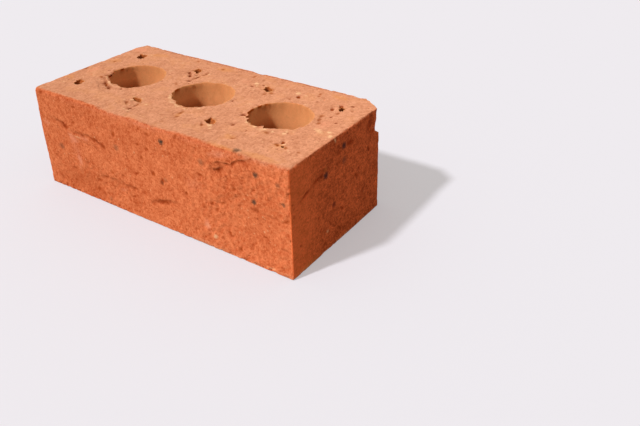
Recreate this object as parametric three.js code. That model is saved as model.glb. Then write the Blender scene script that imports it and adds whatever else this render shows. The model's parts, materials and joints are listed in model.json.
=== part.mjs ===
// Perforated clay facing brick: one piece, extruded, wire-cut and fired.
//
// Millimetres, +Z up. The brick lies on a bed face. X runs along its length, Y across its width,
// and Z up the way that the clay came out of the die. The origin is the middle of the lower bed face.
//
// The die gives the section: a rounded rectangle with a row of large cores on its centre line and
// small pin holes in two rows beside them. The wire gives the height, and its two flat cuts are the
// bed faces. Their edges, round the brick and at every mouth, are eased by handling before firing.

import * as THREE from 'three';

// Work size
const LENGTH = 215;
const WIDTH = 102.5;
const HEIGHT = 73;

// Edges
const DIE_CORNER_RADIUS = 1.5; // the four upright arrises
const WIRE_CUT_EASE = 0.8; // radius left where the wire cut leaves the clay, at arrises and mouths

// Cores: large perforations, evenly spaced on the centre line
const CORE_COUNT = 3;
const CORE_DIAMETER = 42;
const CORE_END_WALL = 23.5; // clay between an outer core and the header face

// Pin holes: small perforations, evenly spaced in one row beside each stretcher face
const PINS_PER_ROW = 4;
const PIN_DIAMETER = 8;
const PIN_TO_HEADER = 17.5; // axis of an outer pin hole to the header face
const PIN_TO_STRETCHER = 21.25; // axis of a row to its stretcher face

// Facets
const CORNER_SEGMENTS = 6;
const CORE_SEGMENTS = 64;
const PIN_SEGMENTS = 24;
const EASE_SEGMENTS = 2;

/** The points of an arc, with its start and its end. Angles are in quarter turns from +X. */
function arcPoints(x, y, radius, firstQuarter, quarters, segments) {
  const start = (firstQuarter * Math.PI) / 2;
  const end = start + (quarters * Math.PI) / 2;
  return new THREE.EllipseCurve(x, y, radius, radius, start, end).getPoints(segments);
}

/** The outline that the die gives the clay: a rectangle with rounded corners, centred. */
function dieOutline() {
  const x = LENGTH / 2 - DIE_CORNER_RADIUS;
  const y = WIDTH / 2 - DIE_CORNER_RADIUS;
  const corners = [[x, y], [-x, y], [-x, -y], [x, -y]];
  return new THREE.Shape(corners.flatMap(([cornerX, cornerY], quarter) =>
    arcPoints(cornerX, cornerY, DIE_CORNER_RADIUS, quarter, 1, CORNER_SEGMENTS)));
}

/** A round hole through the section. */
function perforation(x, y, diameter, segments) {
  return new THREE.Path(arcPoints(x, y, diameter / 2, 0, 4, segments));
}

/** Centres of equally spaced holes along X, the outer two at a given distance from the headers. */
function spacedAlongLength(count, axisToHeader) {
  const first = axisToHeader - LENGTH / 2;
  const pitch = (LENGTH - 2 * axisToHeader) / (count - 1);
  return Array.from({ length: count }, (_, index) => first + index * pitch);
}

/** The row of large cores on the centre line. */
function cores() {
  const axisToHeader = CORE_END_WALL + CORE_DIAMETER / 2;
  return spacedAlongLength(CORE_COUNT, axisToHeader).map((x) =>
    perforation(x, 0, CORE_DIAMETER, CORE_SEGMENTS));
}

/** The two rows of pin holes, one beside each stretcher face. */
function pinHoles() {
  const rowY = WIDTH / 2 - PIN_TO_STRETCHER;
  return [-rowY, rowY].flatMap((y) =>
    spacedAlongLength(PINS_PER_ROW, PIN_TO_HEADER).map((x) =>
      perforation(x, y, PIN_DIAMETER, PIN_SEGMENTS)));
}

/** The whole brick: the perforated section, extruded between the two wire cuts. */
function brickGeometry() {
  const section = dieOutline();
  section.holes.push(...cores(), ...pinHoles());
  const geometry = new THREE.ExtrudeGeometry(section, {
    depth: HEIGHT - 2 * WIRE_CUT_EASE,
    bevelEnabled: true,
    bevelThickness: WIRE_CUT_EASE,
    bevelSize: WIRE_CUT_EASE,
    bevelOffset: -WIRE_CUT_EASE,
    bevelSegments: EASE_SEGMENTS,
  });
  return geometry.translate(0, 0, WIRE_CUT_EASE);
}

const firedClay = new THREE.MeshStandardMaterial({
  name: 'fired_clay',
  color: new THREE.Color(0xcf7446),
  roughness: 0.92,
  metalness: 0,
});

const brick = new THREE.Mesh(brickGeometry(), firedClay);
brick.name = 'brick';

const group = new THREE.Group();
group.name = 'perforated_clay_brick';
group.add(brick);

export default group;
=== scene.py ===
"""Dress for a perforated clay facing brick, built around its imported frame.

The brick lies on a bed face. X runs along its length, Y across its width and Z up through the
perforations, and the origin is the middle of the lower bed face. Sizes in this file are in
millimetres. They turn into metres only where a mesh, a lamp or the camera is made.
"""

import json
import logging
import math
from dataclasses import dataclass, field
from enum import Enum

import bpy
import numpy as np
from mathutils import Matrix, Vector


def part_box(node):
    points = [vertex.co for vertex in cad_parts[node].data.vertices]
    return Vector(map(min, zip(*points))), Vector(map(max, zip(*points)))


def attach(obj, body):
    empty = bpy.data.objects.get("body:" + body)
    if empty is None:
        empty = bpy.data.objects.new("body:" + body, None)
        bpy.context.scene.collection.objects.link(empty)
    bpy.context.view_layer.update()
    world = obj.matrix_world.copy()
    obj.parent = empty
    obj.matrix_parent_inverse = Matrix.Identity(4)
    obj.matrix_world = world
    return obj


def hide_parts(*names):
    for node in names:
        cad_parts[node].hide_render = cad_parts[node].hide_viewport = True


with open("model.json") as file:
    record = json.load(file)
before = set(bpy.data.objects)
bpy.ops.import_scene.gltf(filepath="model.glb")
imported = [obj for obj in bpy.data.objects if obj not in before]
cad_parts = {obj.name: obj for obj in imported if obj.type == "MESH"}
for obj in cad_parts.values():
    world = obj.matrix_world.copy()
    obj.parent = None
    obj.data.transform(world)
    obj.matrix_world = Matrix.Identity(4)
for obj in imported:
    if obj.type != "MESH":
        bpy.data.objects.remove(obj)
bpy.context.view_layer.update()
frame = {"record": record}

LOG = logging.getLogger("perforated_clay_brick")
METRES = 0.001
FACING = (0.35, 0.8)  # the cosines from which a point counts as on a face, and counts in full

Array = np.ndarray
Point = tuple[float, float]
Box = tuple[tuple[float, float, float], tuple[float, float, float]]
Colour = tuple[float, float, float]


# ---------------------------------------------------------------- sizes and faces


class Face(Enum):
    """The six faces: two axes that run along the face, the axis across it and the side it is on."""

    FRONT = (0, 2, 1, -1)
    BACK = (0, 2, 1, 1)
    LEFT = (1, 2, 0, -1)
    RIGHT = (1, 2, 0, 1)
    TOP = (0, 1, 2, 1)
    BOTTOM = (0, 1, 2, -1)

    def along(self, points: Array) -> tuple[Array, Array]:
        """Both coordinates of each point along this face."""
        first, second, _, _ = self.value
        return points[:, first], points[:, second]

    def share(self, normals: Array) -> Array:
        """How squarely each point looks out of this face, from 0 to 1."""
        _, _, axis, side = self.value
        return smooth(normals[:, axis] * side, *FACING)


@dataclass(frozen=True)
class Perforation:
    """A round hole through both bed faces, with the square of the bed's grid that it takes up.

    Its mesh has this many rings round each mouth and this many levels down the wall.
    """

    x: float
    y: float
    radius: float
    half_cell: float
    rings: int
    levels: int


@dataclass(frozen=True)
class BrickSizes:
    """The sizes of the section that the die gives, and of the edges that handling leaves.

    The box and the middles of the holes are the frame's own.
    """

    length: float
    width: float
    height: float
    core_middles: tuple[Point, ...]
    pin_middles: tuple[Point, ...]
    corner_radius: float = 1.5
    arris: float = 0.7
    core_radius: float = 21.0
    pin_radius: float = 4.0
    mouth_ease: float = 0.8
    core_mesh: tuple[float, int, int] = (24.0, 7, 15)
    pin_mesh: tuple[float, int, int] = (6.0, 4, 10)

    @classmethod
    def of_frame(cls, box: Box, openings: list[dict], decimals: int = 2) -> "BrickSizes":
        """Reads the brick's box and the middles of its holes.

        Args:
            box: The brick's lowest and highest corners, in metres.
            openings: The record's openings, each with its name and its box.
            decimals: Decimals of a millimetre that the sizes are rounded to.

        Returns:
            The sizes, with the openings in the record's order.
        """
        length, width, height = (round((high - low) / METRES, decimals) for low, high in zip(*box))
        middles = {"core": [], "pin": []}
        for opening in openings:
            x, y, _ = (round((low + high) / 2 / METRES, decimals) for low, high in zip(*opening["box_m"]))
            middles[opening["name"].split("_")[0]].append((x, y))
        return cls(length, width, height, tuple(middles["core"]), tuple(middles["pin"]))

    @property
    def pin_row(self) -> float:
        """How far both rows of pin holes are from the centre line."""
        return abs(self.pin_middles[0][1])

    def cores(self) -> list[Perforation]:
        """The large perforations on the centre line."""
        return [Perforation(x, y, self.core_radius, *self.core_mesh) for x, y in self.core_middles]

    def pins(self) -> list[Perforation]:
        """The small perforations, in one row beside each stretcher face, the front row first."""
        return [Perforation(x, y, self.pin_radius, *self.pin_mesh) for x, y in self.pin_middles]

    def perforations(self) -> list[Perforation]:
        """Every hole through the brick."""
        return self.cores() + self.pins()

    def on_face(self, face: Face, place: Point, inset: float = 0.0) -> tuple[float, ...]:
        """Works out a point of the brick from its place on a face.

        Args:
            face: The face.
            place: Both coordinates along it.
            inset: How deep the point lies below it.

        Returns:
            The point's x, y and z.
        """
        first, second, axis, side = face.value
        half = (self.length / 2, self.width / 2, self.height / 2)
        point = [0.0, 0.0, half[2]]
        point[axis] += side * (half[axis] - inset)
        point[first], point[second] = place
        return tuple(point)


# ---------------------------------------------------------------- small numeric helpers


def smooth(value: Array, low: float, high: float) -> Array:
    """The smooth step 3t^2 - 2t^3, where t runs from 0 at low to 1 at high."""
    t = np.clip((value - low) / (high - low), 0.0, 1.0)
    return t * t * (3.0 - 2.0 * t)


def bell(distance: Array, width: float | Array) -> Array:
    """The bell curve exp(-(distance / width)^2)."""
    return np.exp(-(distance / width) ** 2)


def divided(breaks: list[float], spacing: float) -> Array:
    """Splits each stretch between neighbouring breaks into equal steps of about the spacing.

    Args:
        breaks: Places that have to be kept, in any order.
        spacing: The step that is wanted.

    Returns:
        Every place from the first break to the last.
    """
    places = sorted(set(breaks))
    pieces = [np.linspace(a, b, max(1, round((b - a) / spacing)), endpoint=False)
              for a, b in zip(places, places[1:])]
    return np.concatenate(pieces + [np.array([places[-1]])])


@dataclass
class ClayNoise:
    """Smooth random relief: seeded random numbers on a cubic lattice, blended between its points."""

    seed: int
    cells: int = 48
    first_cell: float = 500.0
    table: Array = field(init=False)

    def __post_init__(self) -> None:
        """Draws the numbers at the lattice points, each from -1 to 1."""
        draw = np.random.default_rng(self.seed)
        self.table = draw.uniform(-1.0, 1.0, (self.cells,) * 3)

    def __call__(self, points: Array, wavelength: float | tuple[float, float, float],
                 shift: float = 0.0) -> Array:
        """Reads the relief: v = sum of corner numbers, each times its weights w(fx) w(fy) w(fz).

        Here f is the place inside the lattice cell and w(f) = 6f^5 - 15f^4 + 10f^3.

        Args:
            points: Places to read, one row each.
            wavelength: Size of a lattice cell, one number or one for each axis.
            shift: Moves the pattern, so that one table serves for several.

        Returns:
            One number for each place, from -1 to 1.
        """
        scaled = points / np.asarray(wavelength) + shift + self.first_cell
        whole = np.floor(scaled).astype(int)
        part = scaled - whole
        weight = part ** 3 * (part * (part * 6.0 - 15.0) + 10.0)
        total = np.zeros(len(points))
        for corner in np.ndindex(2, 2, 2):
            index = (whole + corner) % self.cells
            share = np.where(np.array(corner) == 1, weight, 1.0 - weight).prod(axis=1)
            total += share * self.table[index[:, 0], index[:, 1], index[:, 2]]
        return total


@dataclass(frozen=True)
class Layer:
    """One layer of relief: its height, the length of its waves and where its pattern starts.

    Its shares are how much of it the sides, the beds and the holes' walls have. A layer with a
    floor is only what rises above that.
    """

    height: float
    wave: float | tuple[float, float, float]
    start: float = 0.0
    side: float = 0.0
    bed: float = 0.0
    bore: float = 0.0
    floor: float | None = None

    def read(self, noise: ClayNoise, points: Array) -> Array:
        """The layer at each point, its height times the noise or what of it rises above the floor."""
        wave = noise(points, self.wave, self.start)
        return self.height * (wave if self.floor is None else np.clip(wave - self.floor, 0.0, None))


@dataclass(frozen=True)
class Ramp:
    """A smooth step from 0 at a low value to a share at a high one, or the other way down."""

    low: float
    high: float
    share: float = 1.0

    def rise(self, value: Array) -> Array:
        """The share at the high value and beyond it, and nothing at the low one."""
        return self.share * smooth(value, self.low, self.high)

    def fall(self, value: Array) -> Array:
        """The share at the low value and below it, and nothing at the high one."""
        return self.share * (1.0 - smooth(value, self.low, self.high))


# ---------------------------------------------------------------- the brick's surface


@dataclass
class Patch:
    """Part of the surface, a grid of points with their normals and their places on the flat chart."""

    points: Array
    normals: Array
    chart: Array
    keep: Array | None = None
    turned: bool = False

    def quads(self) -> Array:
        """Makes a face of each kept grid cell.

        Returns:
            The numbers of each face's corners, so ordered that it looks outwards.
        """
        rows, columns = self.points.shape[:2]
        index = np.arange(rows * columns).reshape(rows, columns)
        cells = np.stack([index[:-1, :-1], index[:-1, 1:], index[1:, 1:], index[1:, :-1]], axis=-1)
        kept = cells[self.keep] if self.keep is not None else cells.reshape(-1, 4)
        return kept[:, ::-1] if self.turned else kept


@dataclass
class BrickSurface:
    """The closed skin of the brick before it is weathered, as patches that share their edges."""

    sizes: BrickSizes
    spacing: float = 1.0
    level_spacing: float = 1.16
    tolerance: float = 1e-6
    corner_cells: int = 2
    arris_steps: int = 3
    mouth_steps: int = 2
    ring_crowding: float = 1.5
    wall_crowding: float = 0.75
    chart_side: float = 356.0
    chart_gap: float = 2.0
    wall_scale: float = 0.64

    def __post_init__(self) -> None:
        """Lays out the lines of the bed's grid, with one on each side of every hole's square."""
        sizes = self.sizes
        self.flat_x = sizes.length / 2 - sizes.corner_radius
        self.flat_y = sizes.width / 2 - sizes.corner_radius
        breaks_x = [-self.flat_x, self.flat_x]
        breaks_y = [-self.flat_y, self.flat_y]
        for hole in sizes.perforations():
            breaks_x += [hole.x - hole.half_cell, hole.x + hole.half_cell]
            breaks_y += [hole.y - hole.half_cell, hole.y + hole.half_cell]
        self.lines_x = divided(breaks_x, self.spacing)
        self.lines_y = divided(breaks_y, self.spacing)

    def patches(self) -> list[Patch]:
        """Makes every patch.

        Returns:
            The outside, both beds, the ring round each mouth, and each hole's wall.
        """
        made = self.outside()
        for top in (True, False):
            made.append(self.bed(top))
            made += [self.mouth(hole, top) for hole in self.sizes.perforations()]
        made += [self.wall(hole, number) for number, hole in enumerate(self.sizes.perforations())]
        return made

    def bed_chart(self, x: Array, y: Array, top: bool) -> Array:
        """Places of bed points on the chart: the upper bed at its foot, and the lower bed above it.

        Args:
            x: Places along the brick.
            y: Places across it.
            top: The upper bed, or else the lower one.

        Returns:
            Their places on the chart, in millimetres.
        """
        sizes = self.sizes
        row = 0.0 if top else sizes.width + self.chart_gap
        return np.stack([x + sizes.length / 2, y + sizes.width / 2 + row], axis=-1)

    def bed(self, top: bool) -> Patch:
        """A bed face as a grid with the holes' squares left out, and its corners rounded.

        Beyond the straight part, with u and v from 0 to 1 across the corner's cells and r the
        corner radius, x = r u sqrt(1 - v^2 / 2) and y = r v sqrt(1 - u^2 / 2). That bends the
        corner's outer two sides on to the arc.

        Args:
            top: The upper bed, or else the lower one.

        Returns:
            The bed's patch.
        """
        sizes = self.sizes
        radius = sizes.corner_radius - sizes.arris
        inner_x, beyond_x = self.with_corners(self.lines_x)
        inner_y, beyond_y = self.with_corners(self.lines_y)
        u, v = np.meshgrid(beyond_x, beyond_y)
        base_x, base_y = np.meshgrid(inner_x, inner_y)
        x = base_x + radius * u * np.sqrt(1.0 - v * v / 2.0)
        y = base_y + radius * v * np.sqrt(1.0 - u * u / 2.0)
        middle_x = (x[:-1, :-1] + x[1:, 1:]) / 2
        middle_y = (y[:-1, :-1] + y[1:, 1:]) / 2
        keep = np.ones(middle_x.shape, bool)
        for hole in sizes.perforations():
            keep &= ((np.abs(middle_x - hole.x) > hole.half_cell)
                     | (np.abs(middle_y - hole.y) > hole.half_cell))
        return self.flat_patch(x, y, top, keep)

    def with_corners(self, lines: Array) -> tuple[Array, Array]:
        """Adds the corners' cells to both ends of the bed's grid lines.

        Args:
            lines: The lines along one axis.

        Returns:
            Where the straight part ends for each line, or its own place on it, and how far each
            line is across the corner beyond, from -1 to 1.
        """
        steps = np.linspace(0.0, 1.0, self.corner_cells + 1)[1:]
        inner = np.concatenate([np.full(len(steps), lines[0]), lines, np.full(len(steps), lines[-1])])
        beyond = np.concatenate([-steps[::-1], np.zeros(len(lines)), steps])
        return inner, beyond

    def flat_patch(self, x: Array, y: Array, top: bool, keep: Array | None = None) -> Patch:
        """Makes a patch that lies in a bed's plane, z = height or z = 0, and looks out of the brick.

        Args:
            x: The x of each point of the grid.
            y: Its y.
            top: In the upper bed, or else in the lower one.
            keep: Which of its cells are kept, or all of them.

        Returns:
            The patch.
        """
        z = np.full(x.shape, self.sizes.height if top else 0.0)
        normals = np.zeros(x.shape + (3,))
        normals[..., 2] = 1.0 if top else -1.0
        chart = self.bed_chart(x, y, top)
        return Patch(np.stack([x, y, z], axis=-1), normals, chart, keep, turned=not top)

    def mouth_angles(self, hole: Perforation) -> tuple[Array, Array, Array]:
        """The square of grid points round a hole, and the angle that each is led to.

        Args:
            hole: The perforation.

        Returns:
            The x and the y of each grid point in order round the square, and its angle, where
            each side of the square takes a quarter turn in equal steps from its lowest corner on.
        """
        lowest_corner, whole_turn = -1.5, 4.0  # in quarter turns
        half = hole.half_cell + self.tolerance
        across = self.lines_x[np.abs(self.lines_x - hole.x) < half]
        up = self.lines_y[np.abs(self.lines_y - hole.y) < half]
        low_y, high_y = np.full(len(across), up[0]), np.full(len(across), up[-1])
        low_x, high_x = np.full(len(up), across[0]), np.full(len(up), across[-1])
        x = np.concatenate([across[:-1], high_x[:-1], across[:0:-1], low_x])
        y = np.concatenate([low_y[:-1], up[:-1], high_y[:-1], up[::-1]])
        quarter = math.pi / 2
        sides = [len(across) - 1, len(up) - 1, len(across) - 1, len(up) - 1]
        turns = [np.arange(count) / count + number for number, count in enumerate(sides)]
        angles = (np.concatenate(turns + [np.array([whole_turn])]) + lowest_corner) * quarter
        return x, y, angles

    def mouth(self, hole: Perforation, top: bool) -> Patch:
        """The ring of bed between a hole's mouth and its square: p = (1 - t) circle + t square.

        Args:
            hole: The perforation.
            top: On the upper bed, or else on the lower one.

        Returns:
            The ring's patch, with t from 0 at the mouth to 1 at the square, crowded towards the mouth.
        """
        x, y, angles = self.mouth_angles(hole)
        radius = hole.radius + self.sizes.mouth_ease
        t = np.linspace(0.0, 1.0, hole.rings + 1)[:, None] ** self.ring_crowding
        ring_x = (1.0 - t) * (hole.x + radius * np.cos(angles)) + t * x
        ring_y = (1.0 - t) * (hole.y + radius * np.sin(angles)) + t * y
        patch = self.flat_patch(ring_x, ring_y, top)
        patch.turned = top
        return patch

    def profile(self, radius: float, steps: int, levels: Array) -> tuple[Array, Array, Array]:
        """The upright profile from the lower bed to the upper one, with both edges eased.

        Each edge is a quarter round. Where a is its angle, from 0 at the bed to a right angle, it is
        r (1 - sin a) back from the wall and r (1 - cos a) below the bed.

        Args:
            radius: Radius of each eased edge.
            steps: Number of straight pieces in each eased edge.
            levels: Heights of the points between the eased edges.

        Returns:
            The distance back from the wall, the height, and the upward part of the normal.
        """
        angle = np.linspace(0.0, math.pi / 2, steps + 1)
        back, depth = radius * (1.0 - np.sin(angle)), radius * (1.0 - np.cos(angle))
        upright = np.zeros(len(levels))
        inset = np.concatenate([back, upright, back[::-1]])
        z = np.concatenate([depth, levels, self.sizes.height - depth[::-1]])
        lift = np.concatenate([-np.cos(angle), upright, np.cos(angle[::-1])])
        return inset, z, lift

    def carried(self, centre: Array, out: Array, reach: Array, z: Array,
                lift: Array) -> tuple[Array, Array]:
        """Carries an upright profile along a line: p = c + reach n, at each height of the profile.

        Args:
            centre: The line's points, or one point for all.
            out: The level direction n at each of them.
            reach: How far the profile is along n, at each of its points.
            z: Its heights.
            lift: The upward part of its normals.

        Returns:
            The points and their normals, which lean along n.
        """
        plan = centre + reach[:, None, None] * out
        shape = plan.shape[:2] + (1,)
        points = np.concatenate([plan, np.broadcast_to(z[:, None, None], shape)], axis=-1)
        level = np.sqrt(1.0 - lift ** 2)[:, None, None] * out
        normals = np.concatenate([level, np.broadcast_to(lift[:, None, None], shape)], axis=-1)
        return points, normals

    def outline(self) -> tuple[Array, Array, list[int]]:
        """Lays out the line that the die's outline is offset from, round the corners' centres.

        Returns:
            The place of each of its points, the way out of the brick there, and the number of the
            point that each face starts at.
        """
        half_turns = np.arcsin(np.linspace(0.0, 1.0, self.corner_cells + 1) / math.sqrt(2.0))
        turn = np.concatenate([half_turns, math.pi / 2 - half_turns[-2::-1]])
        runs = [(self.lines_x, np.full(len(self.lines_x), -self.flat_y), -1.0),
                (np.full(len(self.lines_y), self.flat_x), self.lines_y, 0.0),
                (self.lines_x[::-1], np.full(len(self.lines_x), self.flat_y), 1.0),
                (np.full(len(self.lines_y), -self.flat_x), self.lines_y[::-1], 2.0)]
        x, y, angles, starts = [], [], [], []
        for run_x, run_y, quarter in runs:
            starts.append(sum(len(part) for part in x))
            start = quarter * math.pi / 2
            x += [run_x, np.full(len(turn) - 2, run_x[-1])]
            y += [run_y, np.full(len(turn) - 2, run_y[-1])]
            angles += [np.full(len(run_x), start), start + turn[1:-1]]
        line = np.stack([np.concatenate(x), np.concatenate(y)], axis=-1)
        out = np.stack([np.cos(np.concatenate(angles)), np.sin(np.concatenate(angles))], axis=-1)
        return line, out, starts

    def outside(self) -> list[Patch]:
        """The stretcher and header faces: the eased profile carried round the die's outline.

        A point of the outline is c + (r - d) n, where c runs along the outline's straight part,
        n points out of the brick, r is the corner radius and d the profile's distance back. The
        chart shows the outside as two strips, each one stretcher and one header long.

        Returns:
            One patch for each strip.
        """
        sizes = self.sizes
        line, out, starts = self.outline()
        rise = sizes.height - 2 * sizes.arris
        count = round(rise / self.level_spacing)
        levels = sizes.arris + rise * np.arange(1, count) / count
        inset, z, lift = self.profile(sizes.arris, self.arris_steps, levels)
        length = np.concatenate([[0.0], np.cumsum(np.hypot(np.diff(inset), np.diff(z)))])
        base = 2 * (sizes.width + self.chart_gap)
        strips = []
        for number, (first, last) in enumerate(((starts[0], starts[2]), (starts[2], len(line)))):
            order = np.arange(first, last + 1) % len(line)
            centre, normal = line[order], out[order]
            points, normals = self.carried(centre, normal, sizes.corner_radius - inset, z, lift)
            outer = centre + sizes.corner_radius * normal
            steps = np.hypot(*np.diff(outer, axis=0).T)
            along = np.concatenate([[0.0], np.cumsum(steps)])
            row = base + number * (length[-1] + self.chart_gap)
            chart = np.stack(np.broadcast_arrays(along[None, :], row + length[:, None]), axis=-1)
            strips.append(Patch(points, normals, chart))
        return strips

    def wall(self, hole: Perforation, number: int) -> Patch:
        """A hole's wall, the eased profile turned about the hole's axis.

        A point is at radius r + d from the axis, where d is the profile's distance back from the
        wall. The levels crowd towards both mouths: their heights are a mean of (1 - cos(pi t)) / 2
        and t, weighed by the crowding.

        Args:
            hole: The perforation.
            number: Its place in the list, which gives its place on the chart.

        Returns:
            The wall's patch.
        """
        sizes = self.sizes
        _, _, angles = self.mouth_angles(hole)
        t = np.arange(1, hole.levels) / hole.levels
        rise = sizes.height - 2 * sizes.mouth_ease
        crowding = self.wall_crowding
        crowded = crowding * (1.0 - np.cos(math.pi * t)) / 2 + (1.0 - crowding) * t
        levels = sizes.mouth_ease + rise * crowded
        inset, z, lift = self.profile(sizes.mouth_ease, self.mouth_steps, levels)
        inwards = -np.stack([np.cos(angles), np.sin(angles)], axis=-1)
        centre = np.array([hole.x, hole.y])
        points, normals = self.carried(centre, inwards, -hole.radius - inset, z, lift)
        corner = self.wall_corner(hole, number)
        around = (angles - angles[0]) * hole.radius * self.wall_scale
        chart = np.stack(np.broadcast_arrays(corner[0] + around[None, :],
                                             corner[1] + (z * self.wall_scale)[:, None]), axis=-1)
        return Patch(points, normals, chart, turned=True)

    def wall_corner(self, hole: Perforation, number: int) -> Point:
        """Finds where a wall lies on the chart: beside the beds, the cores and the pins in rows.

        Args:
            hole: The perforation.
            number: Its place in the list.

        Returns:
            The lowest corner of its place on the chart.
        """
        sizes = self.sizes
        side = sizes.length + self.chart_gap
        row = sizes.height * self.wall_scale + self.chart_gap
        cores = len(sizes.core_middles)
        if number < cores:
            return side, (sizes.width + self.chart_gap if number else 0.0) + row * (number // 2)
        step = 2 * math.pi * hole.radius * self.wall_scale + self.chart_gap / 4
        return side + step * (number - cores), row


@dataclass
class Skin:
    """The welded surface: each point once, with its normal, and each face's corners and chart."""

    points: Array
    normals: Array
    quads: Array
    chart: Array

    @classmethod
    def welded(cls, surface: BrickSurface, parts: float = 1e4) -> "Skin":
        """Joins the patches where their points meet.

        Args:
            surface: The patches' maker.
            parts: Points meet that are the same to one of this many parts of a millimetre.

        Returns:
            The welded surface.
        """
        patches = surface.patches()
        points = np.concatenate([patch.points.reshape(-1, 3) for patch in patches])
        normals = np.concatenate([patch.normals.reshape(-1, 3) for patch in patches])
        chart = np.concatenate([patch.chart.reshape(-1, 2) for patch in patches])
        sizes = [patch.points.shape[0] * patch.points.shape[1] for patch in patches]
        offsets = np.concatenate([[0], np.cumsum(sizes)[:-1]])
        quads = np.concatenate([patch.quads() + offset for patch, offset in zip(patches, offsets)])
        used = np.zeros(len(points), bool)
        used[quads.ravel()] = True
        keys = np.round(points * parts).astype(np.int64)
        keys[~used] = keys[quads[0, 0]]
        _, first, inverse = np.unique(keys, axis=0, return_index=True, return_inverse=True)
        inverse = inverse.ravel()
        total = np.zeros((len(first), 3))
        np.add.at(total, inverse[used], normals[used])
        total /= np.linalg.norm(total, axis=1, keepdims=True)
        return cls(points[first], total, inverse[quads], chart[quads] / surface.chart_side)


# ---------------------------------------------------------------- marks on the clay


@dataclass(frozen=True)
class Crease:
    """A line that folding or dragging left on one face, deepest in its middle and nothing at its ends.

    A negative depth makes a welt.
    """

    face: Face
    depth: float
    width: float
    line: tuple[Point, ...]


def creases(face: Face, *rows: tuple) -> list[Crease]:
    """Creases of one face, each given as its depth, its width and the points of its line."""
    return [Crease(face, row[0], row[1], row[2:]) for row in rows]


class Kind(Enum):
    """What a mark is: the named value that the finish reads, and its depth for a radius of 1."""

    # A pit is a hollow in the relief, and its darker tone is painted shade in it.
    PIT = ("pit", 0.9)
    BROWN = ("brown", 0.3)
    # Crumbs stand out in a pale tone, which also paints the highlights on welts.
    CRUMB = ("crumb", -0.5)
    PINK = ("pink", 0.0)
    OCHRE = ("ochre", 0.0)


@dataclass(frozen=True)
class Mark:
    """An oval mark on one face: its place, half its size both ways, its turn and its strength."""

    kind: Kind
    face: Face
    place: Point
    half_size: Point
    turn: float = 0.0
    strength: float = 1.0


def marks(kind: Kind, face: Face, *rows: tuple[float, ...]) -> list[Mark]:
    """Marks of one kind on one face, each given as its place, half sizes, turn and strength."""
    return [Mark(kind, face, row[:2], (row[2], row[3] if len(row) > 3 else row[2]), *row[4:])
            for row in rows]


@dataclass(frozen=True)
class TornLip:
    """Clay torn into a core's upper mouth: how far it hangs in at angles in degrees round the hole."""

    overhang: tuple[Point, ...]
    teeth: float


@dataclass(frozen=True)
class PinMouth:
    """What dragged clay left open of a pin hole's mouth: an oval, its place and its turn."""

    offset: Point = (0.0, 0.0)
    half_size: Point = (2.6, 2.2)
    turn: float = 0.0


@dataclass(frozen=True)
class EdgeWear:
    """How handling wore one edge between a side and a bed: its mean radius, and how far it is nibbled."""

    side: Face
    top: bool
    radius: float
    nibbles: float


@dataclass(frozen=True)
class Break:
    """A plane that clay broke off along: its direction, a point on it, the height that it starts at
    and how rough it is.
    """

    direction: tuple[float, float, float]
    place: tuple[float, float, float]
    start: float
    roughness: float


@dataclass(frozen=True)
class IronSpot:
    """A dark speck where iron in the clay has melted, and how deep below the face its centre is."""

    face: Face
    place: Point
    radius: float
    strength: float = 1.0
    inset: float = 0.0


def iron_spots(face: Face, *rows: tuple[float, ...]) -> list[IronSpot]:
    """Specks of one face, each given as its place, its radius, its strength and its inset."""
    return [IronSpot(face, row[:2], *row[2:]) for row in rows]


@dataclass(frozen=True)
class Wear:
    """Everything that marks this brick out from its neighbours."""

    creases: tuple[Crease, ...]
    marks: tuple[Mark, ...]
    lips: tuple[TornLip, ...]
    pin_mouths: tuple[PinMouth, ...]
    edges: tuple[EdgeWear, ...]
    breaks: tuple[Break, ...]


# ---------------------------------------------------------------- weathering


@dataclass
class Site:
    """The points that marks are laid on, with their normals and their share of the holes' walls."""

    points: Array
    normals: Array
    bore: Array

    def __post_init__(self) -> None:
        """Sorts out which points look out of each face, and how squarely."""
        self.faces = {}
        for face in Face:
            share = face.share(self.normals) * (1.0 - self.bore)
            index = np.nonzero(share > 0.0)[0]
            u, v = face.along(self.points[index])
            self.faces[face] = (index, share[index], u, v)

    def near(self, face: Face, low: Array, high: Array) -> tuple[Array, Array, Array, Array]:
        """Picks the points of one face inside a rectangle.

        Args:
            face: The face.
            low: The rectangle's lowest corner.
            high: Its highest corner.

        Returns:
            Their numbers, how squarely they look out of the face, and both coordinates along it.
        """
        index, share, u, v = self.faces[face]
        inside = (u > low[0]) & (u < high[0]) & (v > low[1]) & (v < high[1])
        return index[inside], share[inside], u[inside], v[inside]


@dataclass(frozen=True)
class Step:
    """A step of the weathering, with the brick's sizes and the noise that all the steps share."""

    sizes: BrickSizes
    noise: ClayNoise


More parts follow.
